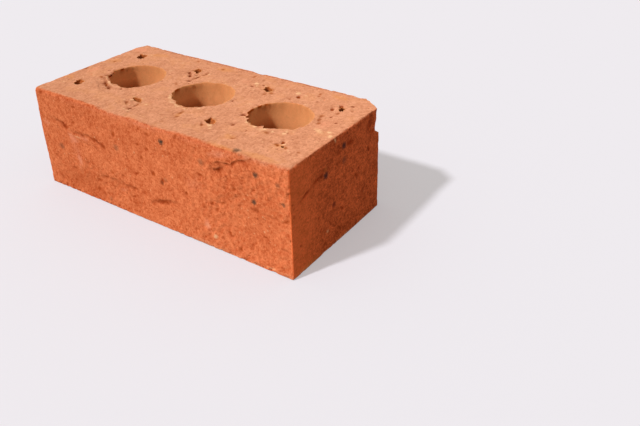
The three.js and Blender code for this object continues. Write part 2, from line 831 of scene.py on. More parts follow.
@dataclass(frozen=True)
class Relief(Step):
    """The clay's own relief, which is the sum of its layers, each by its share on a surface."""

    layers: tuple[Layer, ...] = (
        Layer(0.16, (4.0, 4.0, 40.0), 41.0, bore=1.0),  # streaks down the holes
        Layer(0.18, 70.0, side=1.0, bed=0.5),  # the bow of the faces
        Layer(0.16, 15.0, 3.0, side=1.0, bed=0.5, bore=0.6),  # rolls
        Layer(0.14, 4.6, 11.0, side=1.0, bed=0.6, bore=0.5),  # lumps
        Layer(0.12, 2.1, 23.0, side=1.0, bed=0.6, bore=0.6),  # sand
        Layer(0.10, (2.6, 9.0, 6.0), 37.0, bed=0.6),  # the drag of the wire
        Layer(0.90, 2.3, 5.0, side=1.0, bed=1.1, floor=0.4),  # pores
    )
    bore_rise: float = 0.2

    def depth(self, site: Site) -> Array:
        """Adds up the layers.

        Args:
            site: The points.

        Returns:
            How far in each point goes from the skin's level, less than nothing where it stands out.
        """
        bed = np.abs(site.normals[:, 2]) * (1.0 - site.bore)
        side = np.hypot(site.normals[:, 0], site.normals[:, 1]) * (1.0 - site.bore)
        on_side, on_bed, in_bore = np.zeros((3, len(site.points)))
        for layer in self.layers:
            wave = layer.read(self.noise, site.points)
            on_side += layer.side * wave
            on_bed += layer.bed * wave
            in_bore += layer.bore * wave
        return side * on_side + bed * on_bed + site.bore * (in_bore - self.bore_rise)


@dataclass(frozen=True)
class Creasing(Step):
    """How creases are laid: their widths on both sides of the line, the lap beside it, its waver."""

    above: float = 0.55
    below: float = 1.1
    lap: float = 0.35
    lap_width: float = 3.0
    reach: float = 6.0
    strength: float = 1.6
    # How strong the welts' painted highlight is.
    welt_highlight: float = 0.8
    waver_u: tuple[Layer, ...] = (Layer(0.7, 5.0, 61.0), Layer(0.6, 2.0, 63.0))
    waver_v: tuple[Layer, ...] = (Layer(0.7, 5.0, 67.0), Layer(0.6, 2.0, 69.0))
    beads: Layer = Layer(0.5, 3.0, 73.0)
    mean_bead: float = 0.75

    def lay(self, made: tuple[Crease, ...], site: Site, values: dict[str, Array]) -> Array:
        """Lays the creases, from each point's signed distance to the nearest line.

        The line wavers with the noise. Across it a crease is exp(-(d / w)^2) deep, where w is half
        as great above the line as below it, and over a few widths the skin above stands out and the
        skin below lies in, as where one fold laps over another.

        Args:
            made: The creases.
            site: The points.
            values: Takes the signed distance and the strength, and the welts' painted highlight.

        Returns:
            The depth.
        """
        offset = np.full(len(site.points), self.reach)
        strength, depth = np.zeros((2, len(site.points)))
        waver_u = sum(layer.read(self.noise, site.points) for layer in self.waver_u)
        waver_v = sum(layer.read(self.noise, site.points) for layer in self.waver_v)
        beads = self.mean_bead + self.beads.read(self.noise, site.points)
        for crease in made:
            nodes = np.array(crease.line, float)
            near, share, u, v = site.near(crease.face, nodes.min(axis=0) - 2 * self.reach,
                                          nodes.max(axis=0) + 2 * self.reach)
            signed, taper = self.line_distance(u + waver_u[near], v + waver_v[near], nodes)
            taper *= share * beads[near]
            width = np.where(signed > 0.0, self.above, self.below) * crease.width
            lap = self.lap * np.sign(signed) * bell(signed, self.lap_width * crease.width)
            depth[near] += crease.depth * taper * (bell(signed, width) - lap)
            closer = (np.abs(signed) < np.abs(offset[near])) & (crease.depth > 0.0)
            offset[near] = np.where(closer, signed / crease.width, offset[near])
            seen = taper * min(1.0, self.strength * crease.depth)
            strength[near] = np.where(closer, seen, strength[near])
            # Welts get a painted highlight along their ridge, in the crumbs' pale tone.
            if crease.depth < 0.0:
                pale = self.welt_highlight * taper * bell(signed, crease.width)
                values["crumb"][near] = np.maximum(values["crumb"][near], pale)
        # These shape the bump's groove and the painted shade along each crease.
        values["crease_offset"] = np.clip(offset, -self.reach, self.reach)
        values["crease_strength"] = strength
        return depth

    def line_distance(self, u: Array, v: Array, nodes: Array) -> tuple[Array, Array]:
        """Distance from places on a face to a line of straight pieces.

        Args:
            u: First coordinates.
            v: Second coordinates.
            nodes: The line's points.

        Returns:
            The distance, which is positive on the line's left, and sin(pi s) to the half power,
            where s is how far along the line the nearest point is.
        """
        steps = np.diff(nodes, axis=0)
        lengths = np.hypot(*steps.T)
        before = np.concatenate([[0.0], np.cumsum(lengths)])
        best, signed = np.full((2, len(u)), np.inf)
        place = np.zeros(len(u))
        for start, step, length, run in zip(nodes, steps, lengths, before):
            du, dv = u - start[0], v - start[1]
            t = np.clip((du * step[0] + dv * step[1]) / length ** 2, 0.0, 1.0)
            gap = np.hypot(du - t * step[0], dv - t * step[1])
            side = np.where(step[0] * dv - step[1] * du >= 0.0, 1.0, -1.0)
            closer = gap < best
            best = np.where(closer, gap, best)
            signed = np.where(closer, gap * side, signed)
            place = np.where(closer, (run + t * length) / before[-1], place)
        return signed, np.sqrt(np.clip(np.sin(math.pi * place), 0.0, 1.0))


@dataclass(frozen=True)
class Marking(Step):
    """How marks are laid, and the crumbs and pits that the wire strewed round the mouths.

    The pairs are the least and the greatest of what chance chooses for those.
    """

    reach: float = 2.5
    ragged: Layer = Layer(0.45, 1.9, 71.0)
    strewn_least: float = 7.0
    strewn_per_radius: float = 0.5
    strewn_crumbs: float = 0.6
    strewn_away: Point = (0.4, 4.5)
    strewn_length: Point = (0.6, 1.2)
    strewn_breadth: Point = (0.5, 0.8)
    strewn_strength: Point = (0.5, 1.0)

    def lay(self, made: list[Mark], site: Site, values: dict[str, Array]) -> Array:
        """Lays the marks, each exp(-g^2) strong with g the distance in half sizes, ragged by noise.

        Args:
            made: The marks.
            site: The points.
            values: Takes each kind's strength.

        Returns:
            The depth of the pits, less than nothing on the crumbs.
        """
        depth = np.zeros(len(site.points))
        ragged = 1.0 + self.ragged.read(self.noise, site.points)
        for mark in made:
            name, deep = mark.kind.value
            middle, reach = np.array(mark.place), self.reach * max(mark.half_size)
            near, share, u, v = site.near(mark.face, middle - reach, middle + reach)
            turn = math.radians(mark.turn)
            du, dv = u - middle[0], v - middle[1]
            along = (du * math.cos(turn) + dv * math.sin(turn)) / mark.half_size[0]
            across = (dv * math.cos(turn) - du * math.sin(turn)) / mark.half_size[1]
            strong = mark.strength * share * bell(np.hypot(along, across) * ragged[near], 1.0)
            values[name][near] = np.maximum(values[name][near], strong)
            depth[near] += deep * min(mark.half_size) * strong
        return depth

    def strewn(self) -> list[Mark]:
        """Strews crumbs and pits round the mouths, on both beds.

        Returns:
            The marks.
        """
        draw = np.random.default_rng(self.noise.seed)
        made = []
        for face in (Face.TOP, Face.BOTTOM):
            for hole in self.sizes.perforations():
                rim = hole.radius + self.sizes.mouth_ease
                for _ in range(round(self.strewn_least + self.strewn_per_radius * hole.radius)):
                    angle = draw.uniform(0.0, 2 * math.pi)
                    away = rim + draw.uniform(*self.strewn_away)
                    kind = Kind.CRUMB if draw.uniform() < self.strewn_crumbs else Kind.PIT
                    place = (hole.x + away * math.cos(angle), hole.y + away * math.sin(angle))
                    half_size = (draw.uniform(*self.strewn_length), draw.uniform(*self.strewn_breadth))
                    made.append(Mark(kind, face, place, half_size, draw.uniform(0.0, 180.0),
                                     draw.uniform(*self.strewn_strength)))
        return made


@dataclass(frozen=True)
class Tearing(Step):
    """How clay is torn and dragged into the holes' mouths.

    Each fade is how far down the wall, and then how far out over the bed, the move reaches. The
    noise of a mouth is a height, a length of wave and where its pattern starts for the first hole.
    """

    beds_apart: float = 50.0
    lip_reach: float = 9.0
    lip_fade: Point = (2.0, 2.0)
    lower_lip: float = 1.0
    lip_coarse: tuple[float, float, float] = (0.35, 6.0, 3.0)
    lip_fine: tuple[float, float, float] = (0.3, 2.0, 9.0)
    pin_reach: float = 5.0
    pin_fade: Point = (2.4, 1.2)
    pin_ragged: tuple[float, float, float] = (0.4, 1.8, 13.0)
    pin_pattern_step: float = 2.0
    lower_offset: Point = (-0.8, 0.8)
    lower_half_size: Point = (1.6, 3.2)

    def near_rim(self, points: Array, hole: Perforation, reach: float) -> tuple[Array, ...]:
        """Picks the points near a hole.

        Args:
            points: Places on the plain shape.
            hole: The hole.
            reach: How far beyond its wall.

        Returns:
            Their numbers, the way out from the axis in x and y, and how far beyond the eased mouth.
        """
        dx, dy = points[:, 0] - hole.x, points[:, 1] - hole.y
        away = np.hypot(dx, dy)
        near = np.nonzero(away < hole.radius + reach)[0]
        outer = np.clip(away[near] - hole.radius - self.sizes.mouth_ease, 0.0, None)
        return near, dx[near] / away[near], dy[near] / away[near], outer

    def rim(self, hole: Perforation, x: Array, y: Array, lower: int) -> Array:
        """Where the noise is read for each point: on the hole's rim, and far off for the lower bed."""
        return np.stack([x * hole.radius, y * hole.radius, np.full(len(x), self.beds_apart * lower)],
                        axis=-1)

    def lips(self, points: Array, lips: tuple[TornLip, ...]) -> Array:
        """The torn lips of the cores' mouths, which move towards the axis by l(a) f(depth) f(out).

        Here a is the angle round the hole, f falls off as exp(-(depth / 2)^2) down the wall and as
        exp(-out / 2) over the bed, and l is drawn through the lip's few angles, with teeth of noise.

        Args:
            points: Places on the plain shape.
            lips: The lip of each core's upper mouth.

        Returns:
            How far each point moves.
        """
        shift = np.zeros_like(points)
        coarse_share, coarse_wave, coarse_start = self.lip_coarse
        fine_share, fine_wave, fine_start = self.lip_fine
        for number, (hole, lip) in enumerate(zip(self.sizes.cores(), lips)):
            near, x, y, outer = self.near_rim(points, hole, self.lip_reach)
            z = points[near, 2]
            angle = np.degrees(np.arctan2(y, x)) % 360.0
            hang = np.interp(angle, *np.array(lip.overhang).T)
            for lower, deep in enumerate((self.sizes.height - z, z)):
                rim = self.rim(hole, x, y, lower)
                coarse = self.noise(rim, coarse_wave, coarse_start + number)
                fine = self.noise(rim, fine_wave, fine_start + number)
                lap = self.lower_lip + coarse if lower else hang
                total = lap * (1.0 + lip.teeth * fine) + coarse_share * coarse + fine_share * fine
                total *= bell(deep, self.lip_fade[0]) * np.exp(-outer / self.lip_fade[1])
                shift[near, 0] -= x * total
                shift[near, 1] -= y * total
        return shift

    def pins(self, points: Array, mouths: tuple[PinMouth, ...]) -> Array:
        """Clay dragged over the pins' mouths, which leads each mouth's circle on to a smaller oval.

        A point at direction e on the circle r e moves to c + T S T' e, with c the oval's middle, T
        its turn and S its half sizes. The move falls off as exp(-(depth / 2.4)^2) down the wall and
        as exp(-out / 1.2) over the bed.

        Args:
            points: Places on the plain shape.
            mouths: What is left open of each upper mouth.

        Returns:
            How far each point moves.
        """
        draw = np.random.default_rng(self.noise.seed)
        shift = np.zeros_like(points)
        ragged_share, ragged_wave, ragged_start = self.pin_ragged
        for number, (hole, mouth) in enumerate(zip(self.sizes.pins(), mouths)):
            near, x, y, outer = self.near_rim(points, hole, self.pin_reach)
            z = points[near, 2]
            below = PinMouth(tuple(draw.uniform(*self.lower_offset, 2)),
                             tuple(draw.uniform(*self.lower_half_size, 2)), draw.uniform(0.0, 180.0))
            for lower, (deep, oval) in enumerate(((self.sizes.height - z, mouth), (z, below))):
                turn = math.radians(oval.turn)
                cosine, sine = math.cos(turn), math.sin(turn)
                wave = self.noise(self.rim(hole, x, y, lower), ragged_wave,
                                  ragged_start + self.pin_pattern_step * number)
                ragged = 1.0 + ragged_share * wave
                along = oval.half_size[0] * (x * cosine + y * sine) * ragged
                across = oval.half_size[1] * (y * cosine - x * sine) * ragged
                fade = bell(deep, self.pin_fade[0]) * np.exp(-outer / self.pin_fade[1])
                wanted_x = oval.offset[0] + along * cosine - across * sine
                wanted_y = oval.offset[1] + along * sine + across * cosine
                shift[near, 0] += (wanted_x - hole.radius * x) * fade
                shift[near, 1] += (wanted_y - hole.radius * y) * fade
        return shift


@dataclass(frozen=True)
class Wearing(Step):
    """How the long edges are rounded and nibbled, and how clay breaks off an upright arris."""

    tolerance: float = 1e-6
    nibble: Layer = Layer(3.0, 3.2, 81.0, floor=0.1)
    chip: Layer = Layer(5.0, 9.0, 83.0, floor=0.3)
    wander: Layer = Layer(0.35, 14.0, 87.0)
    rough: tuple[Layer, ...] = (Layer(1.0, 2.6, 91.0), Layer(1.0, 6.0, 93.0))
    break_edge: float = 3.5

    def edges(self, points: Array, moved: Array, worn: tuple[EdgeWear, ...], level: float) -> Array:
        """Rounds and nibbles the long edges of both beds.

        With a and b the distances in from the side and the bed, a point of the corner beyond the
        arc of radius r about (r, r) goes back on to it. The radius wanders along the edge.

        Args:
            points: Places on the plain shape.
            moved: Their places so far.
            worn: How each edge is worn.
            level: How deep the skin lies inside the plain shape.

        Returns:
            The new places.
        """
        sizes, out = self.sizes, moved.copy()
        nibble, chip, wander = (layer.read(self.noise, points)
                                for layer in (self.nibble, self.chip, self.wander))
        for edge in worn:
            _, _, axis, side = edge.side.value
            half = (sizes.length, sizes.width)[axis] / 2 - level
            inward = half - side * out[:, axis]
            down = (sizes.height - out[:, 2] if edge.top else out[:, 2]) - level
            radius = edge.radius * (1.0 + wander) + edge.nibbles * (nibble + chip)
            a, b = np.clip(radius - inward, 0.0, None), np.clip(radius - down, 0.0, None)
            reach = np.maximum(np.hypot(a, b), self.tolerance)
            over = np.where((a > 0.0) & (b > 0.0), np.clip(reach - radius, 0.0, None), 0.0) / reach
            out[:, axis] -= side * over * a
            out[:, 2] -= over * b if edge.top else -over * b
        return out

    def corner(self, moved: Array, breaks: tuple[Break, ...]) -> Array:
        """Breaks clay off along each plane: a point beyond n . p = c goes back to it along n.

        Args:
            moved: Places so far.
            breaks: The planes.

        Returns:
            The new places.
        """
        out = moved.copy()
        for broken in breaks:
            normal = np.array(broken.direction) / np.linalg.norm(broken.direction)
            rough = sum(layer.read(self.noise, out) for layer in self.rough)
            reach = (out - np.array(broken.place)) @ normal + broken.roughness * rough
            high = smooth(out[:, 2], broken.start, broken.start + self.break_edge)
            out -= (np.clip(reach, 0.0, None) * high)[:, None] * normal
        return out


@dataclass(frozen=True)
class PaintedWallShade(Step):
    """Painted shade on the holes' walls, as ramps over the depth from the nearer bed and the lee.

    The lee of a place on a core's wall is the cosine of its angle from the leeward side, where the
    wall gets most painted shade far down and under the torn lip. There is painted shade near the
    cores' mouths, on their windward side and inside the pins' mouths too. The reaches are in radii
    of the hole.
    """

    leeward: Point = (-0.94, -0.34)
    core_reach: float = 1.1
    pin_reach: float = 1.2
    pin_mouth: Ramp = Ramp(-0.3, 1.2)
    pin_paler: Ramp = Ramp(1.5, 4.5, 0.4)
    core_mouth: Ramp = Ramp(4.0, 11.0, 0.14)
    core_deep: Ramp = Ramp(15.0, 24.0, 0.25)
    windward: Ramp = Ramp(-0.8, 0.2, 0.12)
    lee_deep: Ramp = Ramp(12.0, 17.0, 0.8)
    lee_side: Ramp = Ramp(0.3, 0.55)
    tears: Layer = Layer(1.0, 3.0, 103.0)
    tear_patch: Ramp = Ramp(-0.1, 0.3)
    tear_depth: Ramp = Ramp(1.2, 3.8)
    tear_side: Ramp = Ramp(0.45, 0.7)
    tear_share: float = 0.9

    def share(self, points: Array) -> Array:
        """How much painted shade the walls get.

        Args:
            points: Places on the plain shape.

        Returns:
            0 for the plain tone to 1 for the dark one.
        """
        sizes = self.sizes
        down = np.minimum(sizes.height - points[:, 2], points[:, 2])
        pin_row = np.abs(np.abs(points[:, 1]) - sizes.pin_row) < self.pin_reach * sizes.pin_radius
        in_core, lee = np.zeros(len(points), bool), np.zeros(len(points))
        for hole in sizes.cores():
            dx, dy = (points[:, 0] - hole.x) / hole.radius, (points[:, 1] - hole.y) / hole.radius
            near = np.hypot(dx, dy) < self.core_reach
            in_core |= near
            lee = np.where(near, self.leeward[0] * dx + self.leeward[1] * dy, lee)
        pin = self.pin_mouth.rise(down) * (1.0 - self.pin_paler.rise(down))
        torn = self.tear_patch.rise(self.tears.read(self.noise, points)) * self.tear_depth.fall(down)
        core = self.core_mouth.fall(down) + self.windward.fall(lee)
        core += self.tear_share * torn * self.tear_side.rise(lee) + self.core_deep.rise(down)
        core += self.lee_deep.rise(down) * self.lee_side.rise(lee)
        return np.where(pin_row & ~in_core, pin, np.minimum(core, 1.0))


@dataclass(frozen=True)
class WireCut(Step):
    """How the skin's edge runs in waves round a wire-cut bed, with more of the skin at the front.

    The lap is how far the cut clay comes down over the side, and the spread is half the width of
    the change from one to the other.
    """

    band: float = 3.0
    long_wave: Layer = Layer(1.0, (13.0, 60.0, 60.0), 97.0)
    short_wave: Layer = Layer(0.5, 3.0, 99.0)
    wave_lap: float = 0.2
    back_lap: float = 1.4
    front_wave_lap: float = 1.4
    front_lap: float = -1.0
    left_lap: float = -1.8
    left: Ramp = Ramp(20.0, 60.0)
    right: Ramp = Ramp(5.0, 45.0)
    spread: float = 3.0
    left_spread: float = 1.5
    right_spread: float = 2.0

    def share(self, points: Array, normals: Array) -> Array:
        """How far each point is on to a wire-cut bed, 0.5 at the edge.

        Args:
            points: Places on the plain shape.
            normals: Its normals there.

        Returns:
            0 on the die's skin to 1 on the beds.
        """
        sizes, noise = self.sizes, self.noise
        x, y, z = points.T
        inward = np.minimum(sizes.length / 2 - np.abs(x), sizes.width / 2 - np.abs(y))
        down = np.minimum(sizes.height - z, z)
        front = Face.FRONT.share(normals) + (y < self.band - sizes.width / 2)
        back = y > sizes.width / 2 - self.band
        wave = self.long_wave.read(noise, points) + self.short_wave.read(noise, points)
        left, right = self.left.rise(-x), self.right.rise(x)
        lap = front * (self.front_wave_lap * wave + self.front_lap + self.left_lap * left)
        lap = lap + self.back_lap * back + self.wave_lap * wave
        spread = self.spread + self.right_spread * front * right + self.left_spread * front * left
        return smooth((inward - down + lap) / spread, -1.0, 1.0)


@dataclass
class Weathering:
    """Everything that the wire, the folds of the skin, handling and firing did to the plain shape.

    The skin lies a little inside the plain shape, so that welts and crumbs can stand on it. Some
    named values are painted shade and painted light for the finish.
    """

    sizes: BrickSizes
    wear: Wear
    skin_level: float = 0.22
    seed: int = 7
    bore_start: float = 0.2
    # Over these the headers take a darker, redder tone, a painted shade: in full on the right header, in
    # part on the left.
    header_facing: Ramp = Ramp(0.4, 0.9)
    left_header: float = 0.3
    # Painted light: the headers are painted lighter towards their front end, over this ramp.
    painted_light_ramp: Ramp = Ramp(10.0, 50.0)

    def __post_init__(self) -> None:
        """Makes the noise that the steps share."""
        self.noise = ClayNoise(self.seed)

    def weathered(self, skin: Skin) -> tuple[Array, dict[str, Array]]:
        """Carries out each step in turn.

        Args:
            skin: The plain surface.

        Returns:
            The new place of each point, and the named values that the finish reads.
        """
        sizes, wear = self.sizes, self.wear
        tearing, wearing, relief, creasing, marking, painted_wall_shade, wire_cut = (
            step(sizes, self.noise)
            for step in (Tearing, Wearing, Relief, Creasing, Marking, PaintedWallShade, WireCut))
        bore = self.bore_share(skin.points)
        torn = skin.points + tearing.lips(skin.points, wear.lips)
        torn = torn + tearing.pins(skin.points, wear.pin_mouths)
        site = Site(torn, skin.normals, bore)
        # The deep value is painted shade on the holes' walls.
        values = {"wire_cut": np.maximum(bore, wire_cut.share(skin.points, skin.normals)),
                  "bore": bore, "deep": bore * painted_wall_shade.share(skin.points),
                  # The next value is painted shade: the headers' darker, redder tone.
                  "header": self.header(skin.normals) * (1.0 - bore),
                  # The last value is painted light, lighter towards the headers' front end.
                  "fair": self.painted_light_ramp.rise(-skin.points[:, 1])}
        values.update({kind.value[0]: np.zeros(len(bore)) for kind in Kind})
        depth = self.skin_level + relief.depth(site)
        depth += creasing.lay(wear.creases, site, values)
        depth += marking.lay([*wear.marks, *marking.strewn()], site, values)
        moved = torn - skin.normals * depth[:, None]
        moved = wearing.edges(skin.points, moved, wear.edges, self.skin_level)
        moved = wearing.corner(moved, wear.breaks)
        half = np.array([sizes.length, sizes.width]) / 2
        moved[:, :2] = np.clip(moved[:, :2], -half, half)
        moved[:, 2] = np.clip(moved[:, 2], 0.0, sizes.height)
        return moved, values

    def bore_share(self, points: Array) -> Array:
        """Finds the holes' walls, from each point's distance to the nearest one.

        Args:
            points: Places on the plain shape.

        Returns:
            1 on the walls, falling to 0 over their eased edges.
        """
        gap = np.full(len(points), np.inf)
        for hole in self.sizes.perforations():
            reach = np.hypot(points[:, 0] - hole.x, points[:, 1] - hole.y) - hole.radius
            gap = np.minimum(gap, reach)
        ease = self.sizes.mouth_ease
        return 1.0 - smooth(gap, self.bore_start * ease, ease)

    def header(self, normals: Array) -> Array:
        """The share of the headers' darker, redder tone, a painted shade, which the right one has in
        full.
        """
        facing = self.header_facing
        return facing.rise(normals[:, 0]) + self.left_header * facing.rise(-normals[:, 0])


# ---------------------------------------------------------------- finish


@dataclass(frozen=True)
class Value:
    """A number in a material, so that shader maths reads as an expression."""

    graph: "Graph"
    socket: bpy.types.NodeSocket

    def __add__(self, other: "Value | float") -> "Value":
        """Adds."""
        return self.graph.maths("ADD", self, other)

    def __radd__(self, other: float) -> "Value":
        """Adds, with the number first."""
        return self.graph.maths("ADD", other, self)

    def __sub__(self, other: "Value | float") -> "Value":
        """Subtracts."""
        return self.graph.maths("SUBTRACT", self, other)

    def __rsub__(self, other: float) -> "Value":
        """Subtracts from a number."""
        return self.graph.maths("SUBTRACT", other, self)

    def __mul__(self, other: "Value | float") -> "Value":
        """Multiplies."""
        return self.graph.maths("MULTIPLY", self, other)

    def __rmul__(self, other: float) -> "Value":
        """Multiplies, with the number first."""
        return self.graph.maths("MULTIPLY", other, self)

    def __abs__(self) -> "Value":
        """Drops the sign."""
        return self.graph.maths("ABSOLUTE", self, 0.0)

    def step(self, low: float, high: float) -> "Value":
        """The smooth step from 0 at low to 1 at high."""
        node = self.graph.node("ShaderNodeMapRange", {"interpolation_type": "SMOOTHSTEP"},
                               {"Value": self, "From Min": low, "From Max": high})
        return Value(self.graph, node.outputs["Result"])


@dataclass(frozen=True)
class Waves:
    """One size of the clay's grain: its waves to a millimetre, their detail and how much it shows."""

    per_millimetre: float
    detail: float
    roughness: float
    contrast: float


@dataclass(frozen=True)
class Dots:
    """Scattered dots: the mean distance between them, the radius of the largest and their stretch.

    A stretch below 1 draws the dots out that way. Their edges fade over a given breadth.
    """

    spacing: float
    radius: float
    stretch: tuple[float, float, float] = (1.0, 1.0, 1.0)
    fade: float = 0.35


@dataclass
class Graph:
    """The nodes of one material or world."""

    tree: bpy.types.NodeTree

    @classmethod
    def emptied(cls, made: bpy.types.Material | bpy.types.World) -> "Graph":
        """Clears the nodes of a new material or world.

        Args:
            made: The material or world.

        Returns:
            Its nodes, none so far.
        """
        made.use_nodes = True
        made.node_tree.nodes.clear()
        return cls(made.node_tree)

    def node(self, kind: str, settings: dict[str, object] | None = None,
             inputs: dict[str | int, object] | None = None) -> bpy.types.Node:
        """Adds one node.

        Args:
            kind: Its type.
            settings: Its own settings, which are set first.
            inputs: A value or a link for each named or numbered socket.

        Returns:
            The node.
        """
        made = self.tree.nodes.new(kind)
        for name, setting in (settings or {}).items():
            setattr(made, name, setting)
        for name, given in (inputs or {}).items():
            source = given.socket if isinstance(given, Value) else given
            if isinstance(source, bpy.types.NodeSocket):
                self.tree.links.new(source, made.inputs[name])
            else:
                made.inputs[name].default_value = source
        return made

    def maths(self, operation: str, first: Value | float, second: Value | float) -> Value:
        """One step of maths on numbers."""
        made = self.node("ShaderNodeMath", {"operation": operation}, {0: first, 1: second})
        return Value(self, made.outputs[0])

    def glow(self, kind: str, tone: Colour) -> bpy.types.NodeSocket:
        """An emission or a background of one tone, at a strength of 1."""
        return self.node(kind, {}, {"Color": (*tone, 1.0), "Strength": 1.0}).outputs[0]

    def blended(self, share: Value, first: bpy.types.NodeSocket,
                second: bpy.types.NodeSocket) -> bpy.types.NodeSocket:
        """One shader mixed into another by a share."""
        return self.node("ShaderNodeMixShader", {}, {0: share, 1: first, 2: second}).outputs[0]

    def attribute(self, name: str) -> Value:
        """A named value of the mesh."""
        made = self.node("ShaderNodeAttribute", {"attribute_name": name})
        return Value(self, made.outputs["Fac"])

    def noise(self, place: bpy.types.NodeSocket, waves: Waves) -> Value:
        """Noise of one size of grain, which is 0.5 in the mean."""
        made = self.node("ShaderNodeTexNoise", {"noise_dimensions": "3D"}, {
            "Vector": place, "Scale": waves.per_millimetre, "Detail": waves.detail,
            "Roughness": waves.roughness})
        return Value(self, made.outputs[0])

    def grit(self, place: bpy.types.NodeSocket, per_millimetre: float) -> Value:
        """A random number for each grain, with this many grains to a millimetre."""
        made = self.node("ShaderNodeTexVoronoi", {}, {"Vector": place, "Scale": per_millimetre})
        return Value(self, made.outputs["Color"])

    def dots(self, place: bpy.types.NodeSocket, dots: Dots, sand: Value) -> Value:
        """Scattered dots of random sizes, about half of them too small to see.

        Args:
            place: The place, in millimetres.
            dots: Their sizes.
            sand: Noise that makes their edges ragged.

        Returns:
            1 in the dots and 0 between them.
        """
        scaled = self.node("ShaderNodeVectorMath", {"operation": "MULTIPLY"},
                           {0: place, 1: dots.stretch})
        cells = self.node("ShaderNodeTexVoronoi", {}, {"Vector": scaled.outputs[0],
                                                       "Scale": 1.0 / dots.spacing})
        size = (Value(self, cells.outputs["Color"]) - 0.5) * (2.0 * dots.radius)
        gap = Value(self, cells.outputs["Distance"]) * dots.spacing
        return (size - gap + (sand - 0.5) * dots.radius).step(0.0, dots.fade)

    def mixed(self, factor: Value | float, first: object, second: object,
              blend: str = "MIX") -> bpy.types.NodeSocket:
        """One colour mixed into another by a factor.

        Args:
            factor: From 0, the first colour, to 1, the second.
            first: A colour or a colour socket.
            second: A colour or a colour socket.
            blend: The way of mixing.

        Returns:
            The mixed colour's socket.
        """
        colours = [tone if isinstance(tone, bpy.types.NodeSocket) else (*tone, 1.0)
                   for tone in (first, second)]
        made = self.node("ShaderNodeMix", {"data_type": "RGBA", "blend_type": blend},
                         {0: factor, 6: colours[0], 7: colours[1]})
        return made.outputs[2]


@dataclass(frozen=True)
class Stain:
    """How a named value of the mesh tints the clay: its tone, how strongly and how ragged its edge is.

    The tint comes in while the value goes from one end of the fade to the other.
    """

    tone: Colour
    share: float = 1.0
    ragged: float = 1.0
    fade: Point = (0.15, 0.85)


